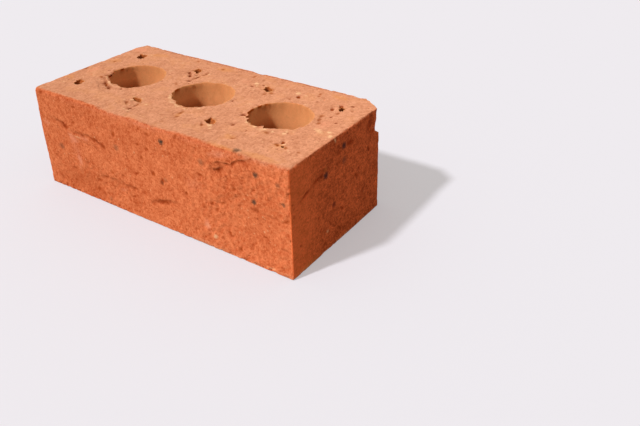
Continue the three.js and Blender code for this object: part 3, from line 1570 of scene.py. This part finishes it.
@dataclass(frozen=True)
class FiredClay:
    """The brick's finish: red sandy skin on the sides and paler salmon clay where it was cut."""

    sizes: BrickSizes
    spots: tuple[IronSpot, ...]
    skin_light: Colour = (0.940, 0.305, 0.126)
    skin_dark: Colour = (0.520, 0.080, 0.016)
    # The headers' tones are a darker, redder copy of the skin's: painted shade.
    header_painted_shade_light: Colour = (0.980, 0.205, 0.065)
    header_painted_shade_dark: Colour = (0.310, 0.041, 0.007)
    # The lighter tone of the painted light at the headers' front end.
    header_painted_light_tone: Colour = (0.640, 0.130, 0.030)
    cut_light: Colour = (0.870, 0.415, 0.243)
    cut_dark: Colour = (0.540, 0.200, 0.096)
    bore_light: Colour = (0.920, 0.435, 0.186)
    bore_dark: Colour = (0.810, 0.372, 0.146)
    # The dark tone of the painted shade on the holes' walls.
    painted_shade_tone: Colour = (0.520, 0.205, 0.036)
    iron_tone: Colour = (0.095, 0.056, 0.036)
    # The iron specks' redder tone for the headers' painted shade.
    header_painted_shade_iron: Colour = (0.110, 0.032, 0.026)
    iron_fade: Point = (0.25, 1.5)
    cut_ochre: Stain = Stain((0.760, 0.330, 0.140), 0.25, fade=(0.02, 0.30))
    pink: Stain = Stain((0.950, 0.380, 0.225), 0.55)
    ochre: Stain = Stain((0.780, 0.320, 0.090), 0.35)
    # Pale crumbs, whose tone also paints the welts' highlights.
    crumb: Stain = Stain((0.930, 0.580, 0.320), 0.8)
    brown: Stain = Stain((0.600, 0.340, 0.140), 0.85, 0.5, (0.1, 0.9))
    # Painted shade along the creases.
    crease: Stain = Stain((0.480, 0.260, 0.110), ragged=0.6, fade=(0.0, 1.6))
    # The pits' painted shade.
    pit: Stain = Stain((0.440, 0.175, 0.045), ragged=0.4, fade=(0.2, 0.75))
    pore_tone: Colour = (0.600, 0.400, 0.260)
    pore_share: float = 0.55
    pale_share: float = 0.4
    edge_ragged: float = 0.8
    edge_fade: Point = (0.05, 0.95)
    raggedness: float = 1.2
    sand: Waves = Waves(1.0, 2.0, 0.6, 1.15)
    lump: Waves = Waves(0.21, 2.0, 0.5, 0.6)
    cloud: Waves = Waves(0.07, 2.0, 0.5, 0.4)
    broad: Waves = Waves(0.02, 1.0, 0.5, 0.2)
    grit_per_millimetre: float = 0.75
    grit_contrast: float = 0.55
    pores: Dots = Dots(6.0, 1.4)
    dashes: Dots = Dots(4.0, 0.9, (0.45, 1.0, 1.0))
    pale_grains: Dots = Dots(2.7, 1.0, (1.03, 1.0, 0.97))
    roughness: float = 0.92
    diffuse_roughness: float = 1.0
    gloss: float = 0.08
    grain_depth: float = 0.18
    silt: Waves = Waves(2.3, 1.0, 0.5, 0.3)
    sand_rise: float = 0.6
    grit_rise: float = 0.35
    pore_fall: float = 0.8
    groove_fall: float = 2.0

    def material(self) -> bpy.types.Material:
        """Makes the material.

        Returns:
            The material, with its colour and its bump.
        """
        made = bpy.data.materials.new("fired_clay")
        graph = Graph.emptied(made)
        coordinates = graph.node("ShaderNodeTexCoord")
        scaled = graph.node("ShaderNodeVectorMath", {"operation": "SCALE"},
                            {0: coordinates.outputs["Object"], "Scale": 1.0 / METRES})
        place = scaled.outputs[0]
        sand = graph.noise(place, self.sand)
        grit = graph.grit(place, self.grit_per_millimetre)
        outside = 1.0 - graph.attribute("bore")
        pores, dashes = graph.dots(place, self.pores, sand), graph.dots(place, self.dashes, sand)
        dark = graph.maths("MAXIMUM", pores, dashes) * outside
        pale = graph.dots(place, self.pale_grains, sand) * outside * (1.0 - graph.attribute("header"))
        colour = self.colour(graph, place, sand, grit, dark, pale)
        silt = graph.noise(place, self.silt) * self.silt.contrast
        height = sand * self.sand_rise + silt + grit * self.grit_rise
        groove = 1.0 - abs(graph.attribute("crease_offset")).step(0.0, 1.0)
        groove = groove * graph.attribute("crease_strength") * self.groove_fall
        height = height - dark * self.pore_fall - groove
        bump = graph.node("ShaderNodeBump", {}, {"Strength": 1.0, "Height": height,
                                                 "Distance": self.grain_depth * METRES})
        shader = graph.node("ShaderNodeBsdfPrincipled", {}, {
            "Base Color": colour, "Roughness": self.roughness, "Normal": bump.outputs[0],
            "Diffuse Roughness": self.diffuse_roughness, "Specular IOR Level": self.gloss})
        graph.node("ShaderNodeOutputMaterial", {}, {"Surface": shader.outputs[0]})
        return made

    def colour(self, graph: Graph, place: bpy.types.NodeSocket, sand: Value, grit: Value,
               dark: Value, pale: Value) -> bpy.types.NodeSocket:
        """Mixes the colour from the tones, the grain and the named values of the mesh.

        Args:
            graph: The material's nodes.
            place: The place on the brick, in millimetres.
            sand: Noise at the size of the sand.
            grit: A random number for each grain.
            dark: Where there are dark pores.
            pale: Where there are pale grains.

        Returns:
            The colour's socket.
        """
        lump, cloud, broad = (graph.noise(place, waves) - 0.5
                              for waves in (self.lump, self.cloud, self.broad))
        fine = (sand - 0.5) * self.sand.contrast + (grit - 0.5) * self.grit_contrast
        grain = 0.5 + fine + lump * self.lump.contrast + cloud * self.cloud.contrast
        grain = grain + broad * self.broad.contrast
        skin = graph.mixed(grain, self.skin_dark, self.skin_light)
        # Painted light: the headers' dark tone lifts towards their front end.
        dim = graph.mixed(graph.attribute("fair"), self.header_painted_shade_dark, self.header_painted_light_tone)
        # The headers' painted shade: a darker, redder copy of the skin, mixed in by the header share.
        header = graph.mixed(grain, dim, self.header_painted_shade_light)
        skin = graph.mixed(graph.attribute("header"), skin, header)
        cut = graph.mixed(grain, self.cut_dark, self.cut_light)
        patches = (cloud * 2.0 - lump).step(*self.cut_ochre.fade) * self.cut_ochre.share
        cut = graph.mixed(patches, cut, self.cut_ochre.tone)
        edge = graph.attribute("wire_cut") + (sand - 0.5) * self.edge_ragged
        colour = graph.mixed(edge.step(*self.edge_fade), skin, cut)
        bore = graph.mixed(grain, self.bore_dark, self.bore_light)
        colour = graph.mixed(graph.attribute("bore"), colour, bore)
        # Painted shade on the holes' walls: darkest far down, on the lee and inside the pins.
        colour = graph.mixed(graph.attribute("deep"), colour, self.painted_shade_tone, "MULTIPLY")
        ragged = (sand - 0.5) * self.raggedness
        # Pink and ochre stains, and pale crumbs, whose tone also paints the welts' highlights.
        for name, stain in (("pink", self.pink), ("ochre", self.ochre), ("crumb", self.crumb)):
            laid = graph.attribute(name)
            mask = (laid + ragged * laid).step(*stain.fade)
            colour = graph.mixed(mask * stain.share, colour, stain.tone)
        colour = graph.mixed(pale * self.pale_share, colour, self.crumb.tone)
        colour = graph.mixed(dark * self.pore_share, colour, self.pore_tone, "MULTIPLY")
        brown = (graph.attribute("brown") + ragged * self.brown.ragged).step(*self.brown.fade)
        colour = graph.mixed(brown * self.brown.share, colour, self.brown.tone, "MULTIPLY")
        # Painted shade along the creases, darkest where they are strongest.
        offset = abs(graph.attribute("crease_offset") + ragged * self.crease.ragged)
        groove = (1.0 - offset.step(*self.crease.fade)) * graph.attribute("crease_strength")
        colour = graph.mixed(groove, colour, self.crease.tone, "MULTIPLY")
        # Painted shade in the pits.
        pit = (graph.attribute("pit") + ragged * self.pit.ragged).step(*self.pit.fade)
        colour = graph.mixed(pit, colour, self.pit.tone, "MULTIPLY")
        # On the headers the iron specks take a redder tone to match their painted shade.
        iron = graph.mixed(graph.attribute("header"), self.iron_tone, self.header_painted_shade_iron)
        whole, none = self.iron_fade
        for spot in self.spots:
            centre = self.sizes.on_face(spot.face, spot.place, spot.inset)
            gap = graph.node("ShaderNodeVectorMath", {"operation": "DISTANCE"}, {0: place, 1: centre})
            torn = Value(graph, gap.outputs["Value"]) + ragged * spot.radius
            black = 1.0 - torn.step(whole * spot.radius, none * spot.radius)
            colour = graph.mixed(black * spot.strength, colour, iron)
        return colour


# ---------------------------------------------------------------- the brick


@dataclass
class ClayBrick:
    """The one piece: its closed mesh, its weathering and its finish."""

    surface: BrickSurface
    weathering: Weathering
    finish: FiredClay
    name: str = "clay_brick"

    def build(self) -> bpy.types.Object:
        """Makes the mesh, with the named values and the chart that its finish and bake use.

        Returns:
            The piece.
        """
        skin = Skin.welded(self.surface)
        points, values = self.weathering.weathered(skin)
        mesh = bpy.data.meshes.new(self.name)
        mesh.vertices.add(len(points))
        mesh.vertices.foreach_set("co", (points * METRES).astype(np.float32).ravel())
        count = len(skin.quads)
        mesh.loops.add(4 * count)
        mesh.loops.foreach_set("vertex_index", skin.quads.ravel().astype(np.int32))
        mesh.polygons.add(count)
        mesh.polygons.foreach_set("loop_start", np.arange(0, 4 * count, 4, dtype=np.int32))
        mesh.update(calc_edges=True)
        chart = mesh.uv_layers.new(name="OFBake")
        chart.uv.foreach_set("vector", skin.chart.astype(np.float32).ravel())
        for name, value in values.items():
            layer = mesh.attributes.new(name, "FLOAT", "POINT")
            layer.data.foreach_set("value", value.astype(np.float32))
        mesh.shade_smooth()
        mesh.validate()
        piece = bpy.data.objects.new(self.name, mesh)
        bpy.context.scene.collection.objects.link(piece)
        return piece

    def dress(self, piece: bpy.types.Object) -> None:
        """Gives the piece its finish and says what it stands for.

        Args:
            piece: The piece.
        """
        piece.data.materials.append(self.finish.material())
        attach(piece, "root")
        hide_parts("brick")


# ---------------------------------------------------------------- stage, light and camera


@dataclass(frozen=True)
class Studio:
    """A pale floor and backdrop under one broad lamp and an even sky."""

    floor_half_size: float = 3000.0
    floor_tone: Colour = (0.32, 0.30, 0.28)
    background: Colour = (0.863, 0.831, 0.863)
    shadow_keep: float = 0.6
    sky_tone: Colour = (0.435, 0.415, 0.355)
    lamp_strength: float = 2.65
    lamp_spread: float = 4.5
    towards_lamp: tuple[float, float, float] = (-0.272, -0.625, 0.731)

    def build(self) -> None:
        """Makes the floor, the lamp and the sky."""
        bpy.context.scene.view_settings.view_transform = "Standard"
        self.floor()
        self.lamp()
        self.sky()

    def floor(self) -> None:
        """Makes a flat floor. To the camera its tone is lifted to the background's, with its shadows."""
        half = self.floor_half_size * METRES
        corners = [(-half, -half, 0.0), (half, -half, 0.0), (half, half, 0.0), (-half, half, 0.0)]
        mesh = bpy.data.meshes.new("floor")
        mesh.from_pydata(corners, [], [(0, 1, 2, 3)])
        floor = bpy.data.objects.new("floor", mesh)
        bpy.context.scene.collection.objects.link(floor)
        made = bpy.data.materials.new("pale_floor")
        graph = Graph.emptied(made)
        seen = self.seen(graph)
        lamp = self.lamp_strength * self.towards_lamp[2] / math.pi
        lifted = tuple(tone / (lamp + sky) for tone, sky in zip(self.background, self.sky_tone))
        diffuse = graph.node("ShaderNodeBsdfDiffuse", {},
                             {"Color": graph.mixed(seen, self.floor_tone, lifted)})
        glow = graph.glow("ShaderNodeEmission", self.background)
        mixed = graph.blended(seen * (1.0 - self.shadow_keep), diffuse.outputs[0], glow)
        graph.node("ShaderNodeOutputMaterial", {}, {"Surface": mixed})
        mesh.materials.append(made)

    def seen(self, graph: Graph) -> Value:
        """Marks the rays that show the background: those of the camera, of gloss and through glass.

        Args:
            graph: The nodes of the floor or the sky.

        Returns:
            1 for those rays and 0 for the others.
        """
        path = graph.node("ShaderNodeLightPath")
        rays = [Value(graph, path.outputs[name])
                for name in ("Is Camera Ray", "Is Glossy Ray", "Is Transmission Ray")]
        return graph.maths("MINIMUM", rays[0] + rays[1] + rays[2], 1.0)

    def lamp(self) -> None:
        """One distant lamp, broad enough for soft shadows."""
        light = bpy.data.lights.new("lamp", "SUN")
        light.energy = self.lamp_strength
        light.angle = math.radians(self.lamp_spread)
        lamp = bpy.data.objects.new("lamp", light)
        lamp.rotation_euler = Vector(self.towards_lamp).to_track_quat("Z", "Y").to_euler()
        bpy.context.scene.collection.objects.link(lamp)

    def sky(self) -> None:
        """An even sky, which the camera sees in the background's tone."""
        world = bpy.data.worlds.new("sky")
        graph = Graph.emptied(world)
        light = graph.glow("ShaderNodeBackground", self.sky_tone)
        back = graph.glow("ShaderNodeBackground", self.background)
        mixed = graph.blended(self.seen(graph), light, back)
        graph.node("ShaderNodeOutputWorld", {}, {"Surface": mixed})
        bpy.context.scene.world = world


@dataclass(frozen=True)
class ViewPoint:
    """The camera: where it stands, which way it looks, and how its film lies behind the lens."""

    place: tuple[float, float, float] = (305.31, -307.61, 254.00)
    azimuth: float = 34.691
    elevation: float = 27.666
    roll: float = -1.261
    focal_length: float = 39.87
    film_width: float = 36.0
    film_rise: float = -0.0984

    def build(self) -> None:
        """Makes the camera and looks through it.

        It looks along (-sin a cos e, cos a cos e, -sin e), with a its azimuth and e its elevation.
        """
        data = bpy.data.cameras.new("camera")
        data.lens = self.focal_length
        data.sensor_width = self.film_width
        data.shift_y = self.film_rise
        azimuth, elevation = math.radians(self.azimuth), math.radians(self.elevation)
        look = Vector((-math.sin(azimuth) * math.cos(elevation),
                       math.cos(azimuth) * math.cos(elevation), -math.sin(elevation)))
        level = Vector((math.cos(azimuth), math.sin(azimuth), 0.0))
        turn = Matrix((level, level.cross(look), look * -1.0)).transposed()
        camera = bpy.data.objects.new("camera", data)
        rolled = turn @ Matrix.Rotation(math.radians(self.roll), 3, "Z")
        camera.matrix_world = Matrix.Translation(Vector(self.place) * METRES) @ rolled.to_4x4()
        bpy.context.scene.collection.objects.link(camera)
        bpy.context.scene.camera = camera


# ---------------------------------------------------------------- what this brick shows


# For each face: depth, width and the points of the line, all along the face in millimetres.
CREASES = (
    *creases(Face.FRONT,
        (0.40, 1.6, (-95, 54), (-88, 53.5), (-83, 52.5), (-78.5, 50.5)),
        (0.50, 1.4, (-74, 49.5), (-64, 48.5), (-57, 49), (-51, 48), (-46, 46.5), (-41, 44)),
        (0.90, 2.2, (49.5, 53.5), (55, 57), (63, 62)),
        (0.80, 1.2, (49.5, 59.5), (57, 62), (62, 63.5), (67, 64), (73.5, 68.5), (84, 71.5)),
        (0.35, 1.5, (-51.5, 22), (-39.5, 22.3), (-31, 22), (-26, 20.5), (-14.5, 21.5)),
        (0.50, 1.4, (-4.5, 16.5), (4.5, 19.5), (9.5, 20.5), (14.5, 22.3), (21, 24)),
        (0.22, 1.0, (73, 37.5), (84.5, 37.5), (94.5, 37), (107.5, 38.5)),
        (0.22, 0.8, (94, 18), (106, 18.5))),
    *creases(Face.RIGHT, (0.28, 1.5, (-50, 46), (-37.5, 49.5), (-28, 53), (-15, 55))),
    *creases(Face.BACK,
        (0.55, 1.3, (-88, 56), (-74, 59), (-60, 58.5), (-47, 62)),
        (0.45, 1.5, (20, 47), (36, 44.5), (52, 45.5), (67, 42)),
        (0.40, 1.4, (-32, 22), (-14, 20.5), (8, 23)),
        (0.25, 1.0, (62, 18), (84, 16.5))),
    *creases(Face.LEFT, (0.40, 1.3, (-30, 51), (-12, 48), (10, 49.5)), (0.30, 1.2, (8, 22), (34, 24.5))),
    *creases(Face.TOP,
        (1.00, 1.5, (-80, -11), (-77, -15), (-72, -18.5), (-63, -23), (-58, -25)),
        (0.60, 1.1, (-37, 26.5), (-33, 23), (-29, 19)),
        (0.40, 1.3, (-24, 34), (-23, 27), (-24.5, 20), (-25.5, 12)),
        (0.25, 1.1, (-27, -30.5), (-25, -35), (-25, -41)),
        (0.45, 0.9, (-37, -32), (-31, -37)),
        (0.50, 0.9, (27, -30.5), (31.5, -34.5)),
        (0.35, 1.0, (84, 15), (86, 9), (89.5, 3)),
        (-0.80, 1.1, (-83, -4), (-77.5, -12), (-72.5, -15.8), (-65, -19.3), (-60, -20.3), (-53, -20.5)),
        (-0.30, 1.1, (-21, -8), (-16.5, -13), (-9.5, -18.5), (-1.5, -22), (8, -22)),
        (-0.35, 1.1, (43, -10), (48, -14.5), (55, -19.5), (63, -20.5), (74, -18))),
)

# For each kind and face: place, half sizes (one of them for a round mark), turn and strength.
MARKS = (
    # Pits darken their hollows with painted shade; those along the cores' torn rims and crack are painted
    # shadow under the lips.
    *marks(Kind.PIT, Face.TOP,
        (55, 30.7, 2.6, 1.4, -60), (42, -9.5, 1.9), (45.8, -23.5, 1.8, 1.3, -60),
        (84.5, 25.7, 2.4, 1.4, -55), (86.8, 32.3, 2.8, 1.5, -60), (92.8, 36.5, 1.6, 1.2),
        (85.5, -26.5, 1.9, 1.4, -60), (23.5, 35, 1.3, 1.0), (18.5, 29, 1.5, 1.2),
        (-72.5, 32.5, 0.9, 0.9, 0, 0.5), (-25, -39.5, 1.5, 1.3), (-79, 13, 1.5, 1.3),
        (-81.5, 7, 1.4, 1.2), (-84.5, 0.5, 1.6, 1.3), (-82.5, -3.5, 1.2, 1.0), (-81, -8, 1.7, 1.3),
        (-17, 11, 1.9, 1.1, 50), (-14, 14.5, 1.2, 0.8, 40), (97.5, 10, 0.9), (90, 16, 0.9),
        (-32.5, -27.5, 1.6, 1.1, -20), (-33.5, -26.3, 2.0, 1.2, -15), (-28, -28.5, 2.4, 1.2, -20),
        (-35.2, 25.5, 2.2, 1.2, -45), (-31.3, 21.5, 2.2, 1.1, -50), (-24, 31, 1.2, 1.0),
        (-24.5, 22.5, 1.3, 1.8), (-25, 14.5, 1.6, 1.4), (-82, 0, 2.4, 1.4, -35),
        (-80, -6.5, 2.4, 1.4, -45), (-72.5, -18.5, 3.0, 1.1, -35), (-63.5, -23.5, 3.0, 1.1, -27)),
    *marks(Kind.BROWN, Face.TOP,
        (36.5, 26, 2.8, 1.5, -55), (33.5, 23, 1.6), (-24, 31, 1.3, 1.8), (-23.5, 27, 1.4),
        (-24.5, 20.5, 1.6, 2.2), (-25, 14, 1.7, 1.4), (-34, -34, 2.4, 1.1, -55), (-25, -34, 1.3, 2.4),
        (-28.5, 5, 2.6, 1.0, -45), (-20.5, 44, 2.2, 1.2, -40), (7.5, 45, 1.2, 2.4), (7.5, -28, 1.5, 2.8),
        (9, -33.5, 1.2, 2.0), (64, 43, 1.1, 2.0), (65, 39, 1.3), (52, 25, 1.3, 1.0), (84.5, 14, 1.2, 1.8),
        (86, 9, 1.2, 1.8), (88.5, 4.5, 1.2, 1.8, 20), (91, 22, 1.2, 1.8), (90.5, -31, 2.4, 1.5, -40),
        (84, -30.5, 2.4, 1.4, -30), (-82.5, -13, 2.4, 1.1, -30), (-82, -9.5, 1.6, 1.0, -30),
        (-105.5, -7, 1.4, 2.2), (30, -33.5, 2.0, 1.0, -40), (70, -22, 2.2, 1.0), (-98.5, 13, 1.6, 1.3),
        (33, 30, 2.4, 3.4), (58, -37.5, 2.0, 1.2), (100, -32, 1.4, 1.0), (-47, 47, 1.6, 1.0),
        # The last darkens the upper bed broadly along its back edge.
        (0, 48, 130, 13, 0, 0.27)),
    *marks(Kind.BROWN, Face.FRONT,
        (-100.5, 71.3, 1.6, 1.3), (-31.5, 57, 1.6, 2.0), (-38.3, 27.5, 1.7, 1.4),
        (-13.5, 34.5, 2.2, 1.2, 30), (-62.5, 27.5, 2.0, 1.8, 0, 0.5), (1.5, 38.5, 1.8, 1.3),
        (8.3, 34.5, 1.4, 3.2, -15, 1.2), (-72, 10, 34, 11, 4, 0.42), (84, 28, 30, 26, 0, 0.27),
        (-40, 19, 22, 4, 0, 0.35), (-80.5, 51, 2.8, 1.6, 0, 1.3), (-52, 48, 3.0, 1.2),
        (-43.5, 45, 2.4, 1.1, -25), (-54, 16.5, 3.0, 1.1), (-78, 19, 1.6, 1.0), (-81, 8.5, 2.4, 1.2),
        (-47, 21.5, 2.6, 1.0), (-18.5, 22, 2.2, 1.0), (-21.5, 14.5, 1.4, 1.1), (-28.5, 28.5, 1.4, 1.2),
        (-9.5, 56, 2.0, 1.0), (-8, 47.5, 1.6, 1.0), (0, 65.5, 1.5, 1.0), (-1.5, 55, 1.8, 1.1),
        (8, 20, 5.0, 1.6, 15), (28.5, 33, 2.0, 1.0, 20), (48.5, 32.3, 2.0, 1.0, 15),
        (57, 35.5, 1.6, 1.0, 30), (41.5, 50, 1.6, 1.0), (66.5, 47.5, 1.0, 2.4, -10),
        (81, 51.5, 1.4, 0.8, 10), (86.5, 21.5, 1.6, 0.9, 10), (79.5, 38, 4.2, 1.8, 0, 0.7),
        (103, 38, 2.6, 1.1, 25), (76, 55.5, 1.4, 0.8, 20), (17.5, 57, 1.5, 1.0),
        (60.5, 15.5, 1.1, 2.8, 15), (52, 29, 1.6, 0.9), (68.5, 7, 1.2, 1.8, -30), (-96.5, 24.5, 1.6, 1.0),
        (-67.5, 67.5, 2.2, 0.9), (-70, 56, 2.2, 0.9, 20), (25, 71, 2.0, 1.2, 50), (-57, 9, 2.6, 1.2)),
    *marks(Kind.PIT, Face.RIGHT, (20, 40.5, 1.1), (-42.5, 19.5, 0.8)),
    *marks(Kind.BROWN, Face.RIGHT,
        (-36, 50, 5.0, 1.2, 22), (-24, 54, 5.0, 1.2, 10), (33, 66, 3.5, 6.5, -20, 0.7),
        (10, 62.5, 4.5, 2.0, -12), (-18, 57, 5.0, 1.8, 0, 0.6), (-2, 61, 3.0, 1.6, 0, 0.6),
        (-24, 28, 1.8, 1.1), (-8, 29, 1.8, 1.7), (1, 22, 2.6, 1.1, -30), (17, 37, 2.6, 1.1, -35),
        (32, 49, 2.2, 1.1, -40), (-22, 18, 1.2, 1.9), (37, 59, 2.2, 1.6)),
    *marks(Kind.PIT, Face.BACK,
        (-70, 40, 1.3), (-22, 52, 1.1), (14, 33, 1.2), (48, 61, 1.3), (83, 50, 1.1), (-96, 24, 1.2)),
    *marks(Kind.BROWN, Face.BACK,
        (-78, 50, 2.6, 1.2), (-50, 30, 2.0, 1.0, 20), (-12, 62, 2.4, 1.1), (5, 44, 1.8, 1.2),
        (33, 20, 3.0, 1.1, -15), (58, 33, 2.0, 1.0), (76, 60, 2.4, 1.1, 10), (92, 12, 1.8, 1.2),
        (-90, 66, 2.0, 1.0), (-30, 10, 2.6, 1.1)),
    *marks(Kind.PIT, Face.LEFT, (-36, 30, 1.2), (4, 61, 1.3), (31, 38, 1.1)),
    *marks(Kind.BROWN, Face.LEFT,
        (-20, 40, 2.4, 1.1, -20), (18, 30, 2.0, 1.2), (40, 58, 1.8, 1.2), (-42, 12, 2.2, 1.1, 15),
        (10, 8, 2.4, 1.0)),
    *marks(Kind.CRUMB, Face.TOP,
        (18.5, 33.5, 2.2, 1.6, -60), (21, 30.5, 1.1), (26, 34, 0.9), (35.5, -32, 2.4, 1.6, -45),
        (38, -35, 1.3, 1.0), (52, 35, 2.2, 1.6, -60), (59, 34, 1.0), (88.5, 28.5, 1.0),
        (-20.5, 29.5, 1.0), (-28.5, -25.5, 1.2, 0.8), (-33.5, -30, 1.1), (88, -28.7, 1.3, 1.0),
        (59.5, -19.5, 1.4, 1.0), (66.5, -19, 1.3), (72.5, -19.5, 1.1), (51.5, -17.5, 1.1),
        (80, -18, 1.7, 1.1), (79, -14.5, 1.2, 0.9), (95, -4.5, 5.0, 2.0, -25, 0.7),
        # From (-15, -15) on, four crumbs along the welt beside the middle core are painted highlight.
        (104.5, -7, 2.4, 1.4, -50), (101.5, -3, 2.0, 1.3), (-15, -15, 2.6, 1.1, -35, 0.8),
        (-9, -19.5, 3.0, 1.0, -30, 0.7), (6, -22.5, 3.0, 1.1, 20, 0.7), (13, -17.5, 2.2, 1.1, 50, 0.7),
        (36, 5, 1.3, 2.8, -30, 0.5), (-23, -43, 1.0, 3.0, 0, 0.6), (-27, -42.5, 1.4, 1.0),
        (-20, -30.5, 1.2, 0.9)),
    *marks(Kind.CRUMB, Face.FRONT,
        # The first, a pale line under a crease, is painted highlight.
        (-69, 45.5, 7, 0.9, 0, 0.6), (49, 9.3, 2.0, 1.4, 60, 0.8), (43.5, 15, 1.5, 2.2, 0, 0.35),
        (-13, 73, 5, 0.8, 0, 0.6), (58, 69, 7, 1.6, 8, 0.3), (92, 2, 9, 1.2, 0, 0.5)),
    *marks(Kind.CRUMB, Face.RIGHT,
        (-6.5, 71.3, 0.9, 2.4, 20, 0.8), (3, 1.5, 10, 0.9, 0, 0.5), (-42, 1.8, 8, 0.9, 0, 0.4),
        (25, 2.0, 5, 0.9, 0, 0.4), (-15.5, 14, 1.4, 1.0, 0, 0.7), (26, 21, 1.4, 1.0, 0, 0.4)),
    *marks(Kind.PINK, Face.FRONT,
        (-73.5, 43, 5, 3.5, -30, 0.9), (-70.5, 28, 1.8, 5, 10), (-72, 22, 1.5, 4, 10, 0.6),
        (-100, 49, 3, 3, 0, 0.6), (43.5, 15.5, 2.6, 4, 20, 0.8), (58, 68, 10, 2.6, 8, 0.65),
        (-30, 17, 5, 2, 20, 0.5), (-4, 71, 20, 2.5, 0, 0.5), (0, 71, 150, 3.2, 0, 0.36),
        (35, 42, 10, 6, 20, 0.4), (-62, 46, 8, 2, 0, 0.6), (-72, 36, 7, 13, 15, 0.4)),
    *marks(Kind.PINK, Face.TOP,
        (-101.5, 41.5, 9, 5, 0, 0.7), (-98.5, -6, 4, 8, 0, 0.6), (92.5, 5, 6, 9, 0, 0.5),
        (-19.5, -25.5, 7, 4, 0, 0.4), (9.5, 34, 9, 5, 0, 0.4), (20.5, -22.5, 7, 3, 0, 0.4)),
    *marks(Kind.OCHRE, Face.TOP,
        (8, -30, 2.2, 4.5), (-79.5, 41, 8, 4, 30), (-99, 14.5, 4, 5), (-103, -24, 5, 3), (79, 44.5, 6, 4),
        (55, -37, 5, 3, -30), (85, -31, 3, 2), (-18.5, 44, 8, 4), (84, -47.5, 13, 3.2),
        (60, -49.5, 12, 2.4)),
    *marks(Kind.OCHRE, Face.RIGHT, (-16, 57, 2.2, 1.8, 0, 0.7), (-34, 2, 18, 2.2, 0, 0.6)),
)

# For each core: the angle round it and how far the clay hangs in there, then the teeth's share.
LIPS = (
    TornLip(((0, 0.3), (130, 0.2), (148, 1.0), (158, 2.2), (168, 1.6), (176, 0.2), (182, 0.2),
             (187, 2.6), (196, 2.8), (204, 1.6), (210, 2.6), (225, 3.2), (240, 4.2), (258, 4.2),
             (270, 4.2), (280, 2.2), (290, 0.8), (300, 0.1), (360, 0.3)), 0.35),
    TornLip(((0, 0.2), (185, 0.1), (207, 1.0), (225, 2.0), (245, 2.4), (258, 1.0), (278, 0.8),
             (294, 1.8), (306, 3.0), (318, 3.2), (334, 0.6), (360, 0.2)), 0.35),
    TornLip(((0, 0.4), (185, 0.1), (206, 2.0), (230, 2.2), (240, 1.2), (255, 2.4), (266, 4.4),
             (276, 2.8), (288, 4.2), (299, 3.8), (312, 3.0), (332, 0.9), (360, 0.4)), 0.55),
)

# For each pin hole, front row first: the middle of what is open, its half sizes and its turn.
PIN_MOUTHS = (
    PinMouth((1.5, 3.0), (4.6, 2.9), -36.0),
    PinMouth((-0.4, 2.4), (4.4, 1.7), -22.0),
    PinMouth((1.6, 3.0), (4.4, 2.5), -40.0),
    PinMouth((-1.5, -1.2), (0.9, 0.6), -30.0),
    PinMouth((1.4, 1.0), (4.2, 3.2), -48.0),
    PinMouth((-2.5, 0.5), (4.4, 2.3), -46.0),
    PinMouth((0.7, 0.0), (3.9, 2.6), -56.0),
    PinMouth((-0.4, -1.6), (2.6, 1.3), -60.0),
)

# For each long edge: its side, whether it is an upper one, its mean radius and its nibbles.
EDGES = (
    EdgeWear(Face.FRONT, True, 2.0, 0.1),
    EdgeWear(Face.BACK, True, 0.4, 0.6),
    EdgeWear(Face.LEFT, True, 0.9, 0.5),
    EdgeWear(Face.RIGHT, True, 0.8, 0.9),
    EdgeWear(Face.FRONT, False, 0.6, 0.15),
    EdgeWear(Face.BACK, False, 0.8, 0.5),
    EdgeWear(Face.LEFT, False, 0.7, 0.3),
    EdgeWear(Face.RIGHT, False, 0.6, 0.2),
)

# Two planes of the broken arris and one of the back left corner, then two worn upright arrises:
# the direction that each looks, a point on it, the height that it starts at and its roughness.
BREAKS = (
    Break((0.56, 0.83, 0.05), (101.7, 45.7, 73.0), 51.0, 0.5),
    Break((0.87, 0.49, -0.06), (107.3, 39.8, 62.0), 51.0, 0.5),
    Break((-0.95, 0.31, 0.12), (-107.3, 42.5, 72.8), 62.0, 0.3),
    Break((0.87, 0.49, 0.00), (107.3, 43.6, 30.0), -10.0, 0.25),
    Break((-0.85, -0.50, 0.05), (-104.9, -51.25, 70.0), -10.0, 0.15),
)

# For each face: place, radius, strength and inset.
IRON_SPOTS = (
    *iron_spots(Face.FRONT,
        (12, 63.5, 1.9), (43.5, 59, 2.1, 0.4), (84, 62.5, 1.9, 0.85), (99.5, 61, 1.6, 0.4),
        (102, 49, 1.4, 0.7, 1.15), (80.3, 43, 1.7, 0.9, 2.35), (8.3, 34, 1.5, 0.45), (11.5, 37, 1.8, 0.3),
        (-30.5, 48, 2.4, 0.4), (-88, 33.5, 2.5, 0.45), (-45, 5.5, 1.8, 0.3),
        (69.5, 72.3, 2.4, 0.75, 3.25)),
    *iron_spots(Face.RIGHT,
        (3.5, 63.5, 2.3), (-16, 52.5, 2.3), (3.5, 54, 2.4, 0.6), (-8, 29, 1.9, 0.5, 0.6)),
    *iron_spots(Face.LEFT, (-21, 44, 1.9, 0.8), (27, 58, 1.7)),
    *iron_spots(Face.BACK, (-58, 31, 2.0, 0.9), (24, 58, 1.7, 0.8), (88, 34, 1.8, 0.7)),
    *iron_spots(Face.BOTTOM, (-34, -12, 1.9), (74, 36, 1.8, 0.8)),
)


def main() -> None:
    """Builds the brick, its stage, its light and its camera, and logs the brick's points and triangles.
    """
    logging.basicConfig(level=logging.INFO, format="%(name)s: %(message)s")
    ViewPoint().build()
    Studio().build()
    sizes = BrickSizes.of_frame(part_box("brick"), frame["record"]["physics"]["openings"])
    wear = Wear(CREASES, MARKS, LIPS, PIN_MOUTHS, EDGES, BREAKS)
    brick = ClayBrick(BrickSurface(sizes), Weathering(sizes, wear), FiredClay(sizes, IRON_SPOTS))
    piece = brick.build()
    brick.dress(piece)
    LOG.info("%s: %d points, %d triangles", piece.name, len(piece.data.vertices),
             2 * len(piece.data.polygons))


if __name__ == "__main__":
    main()
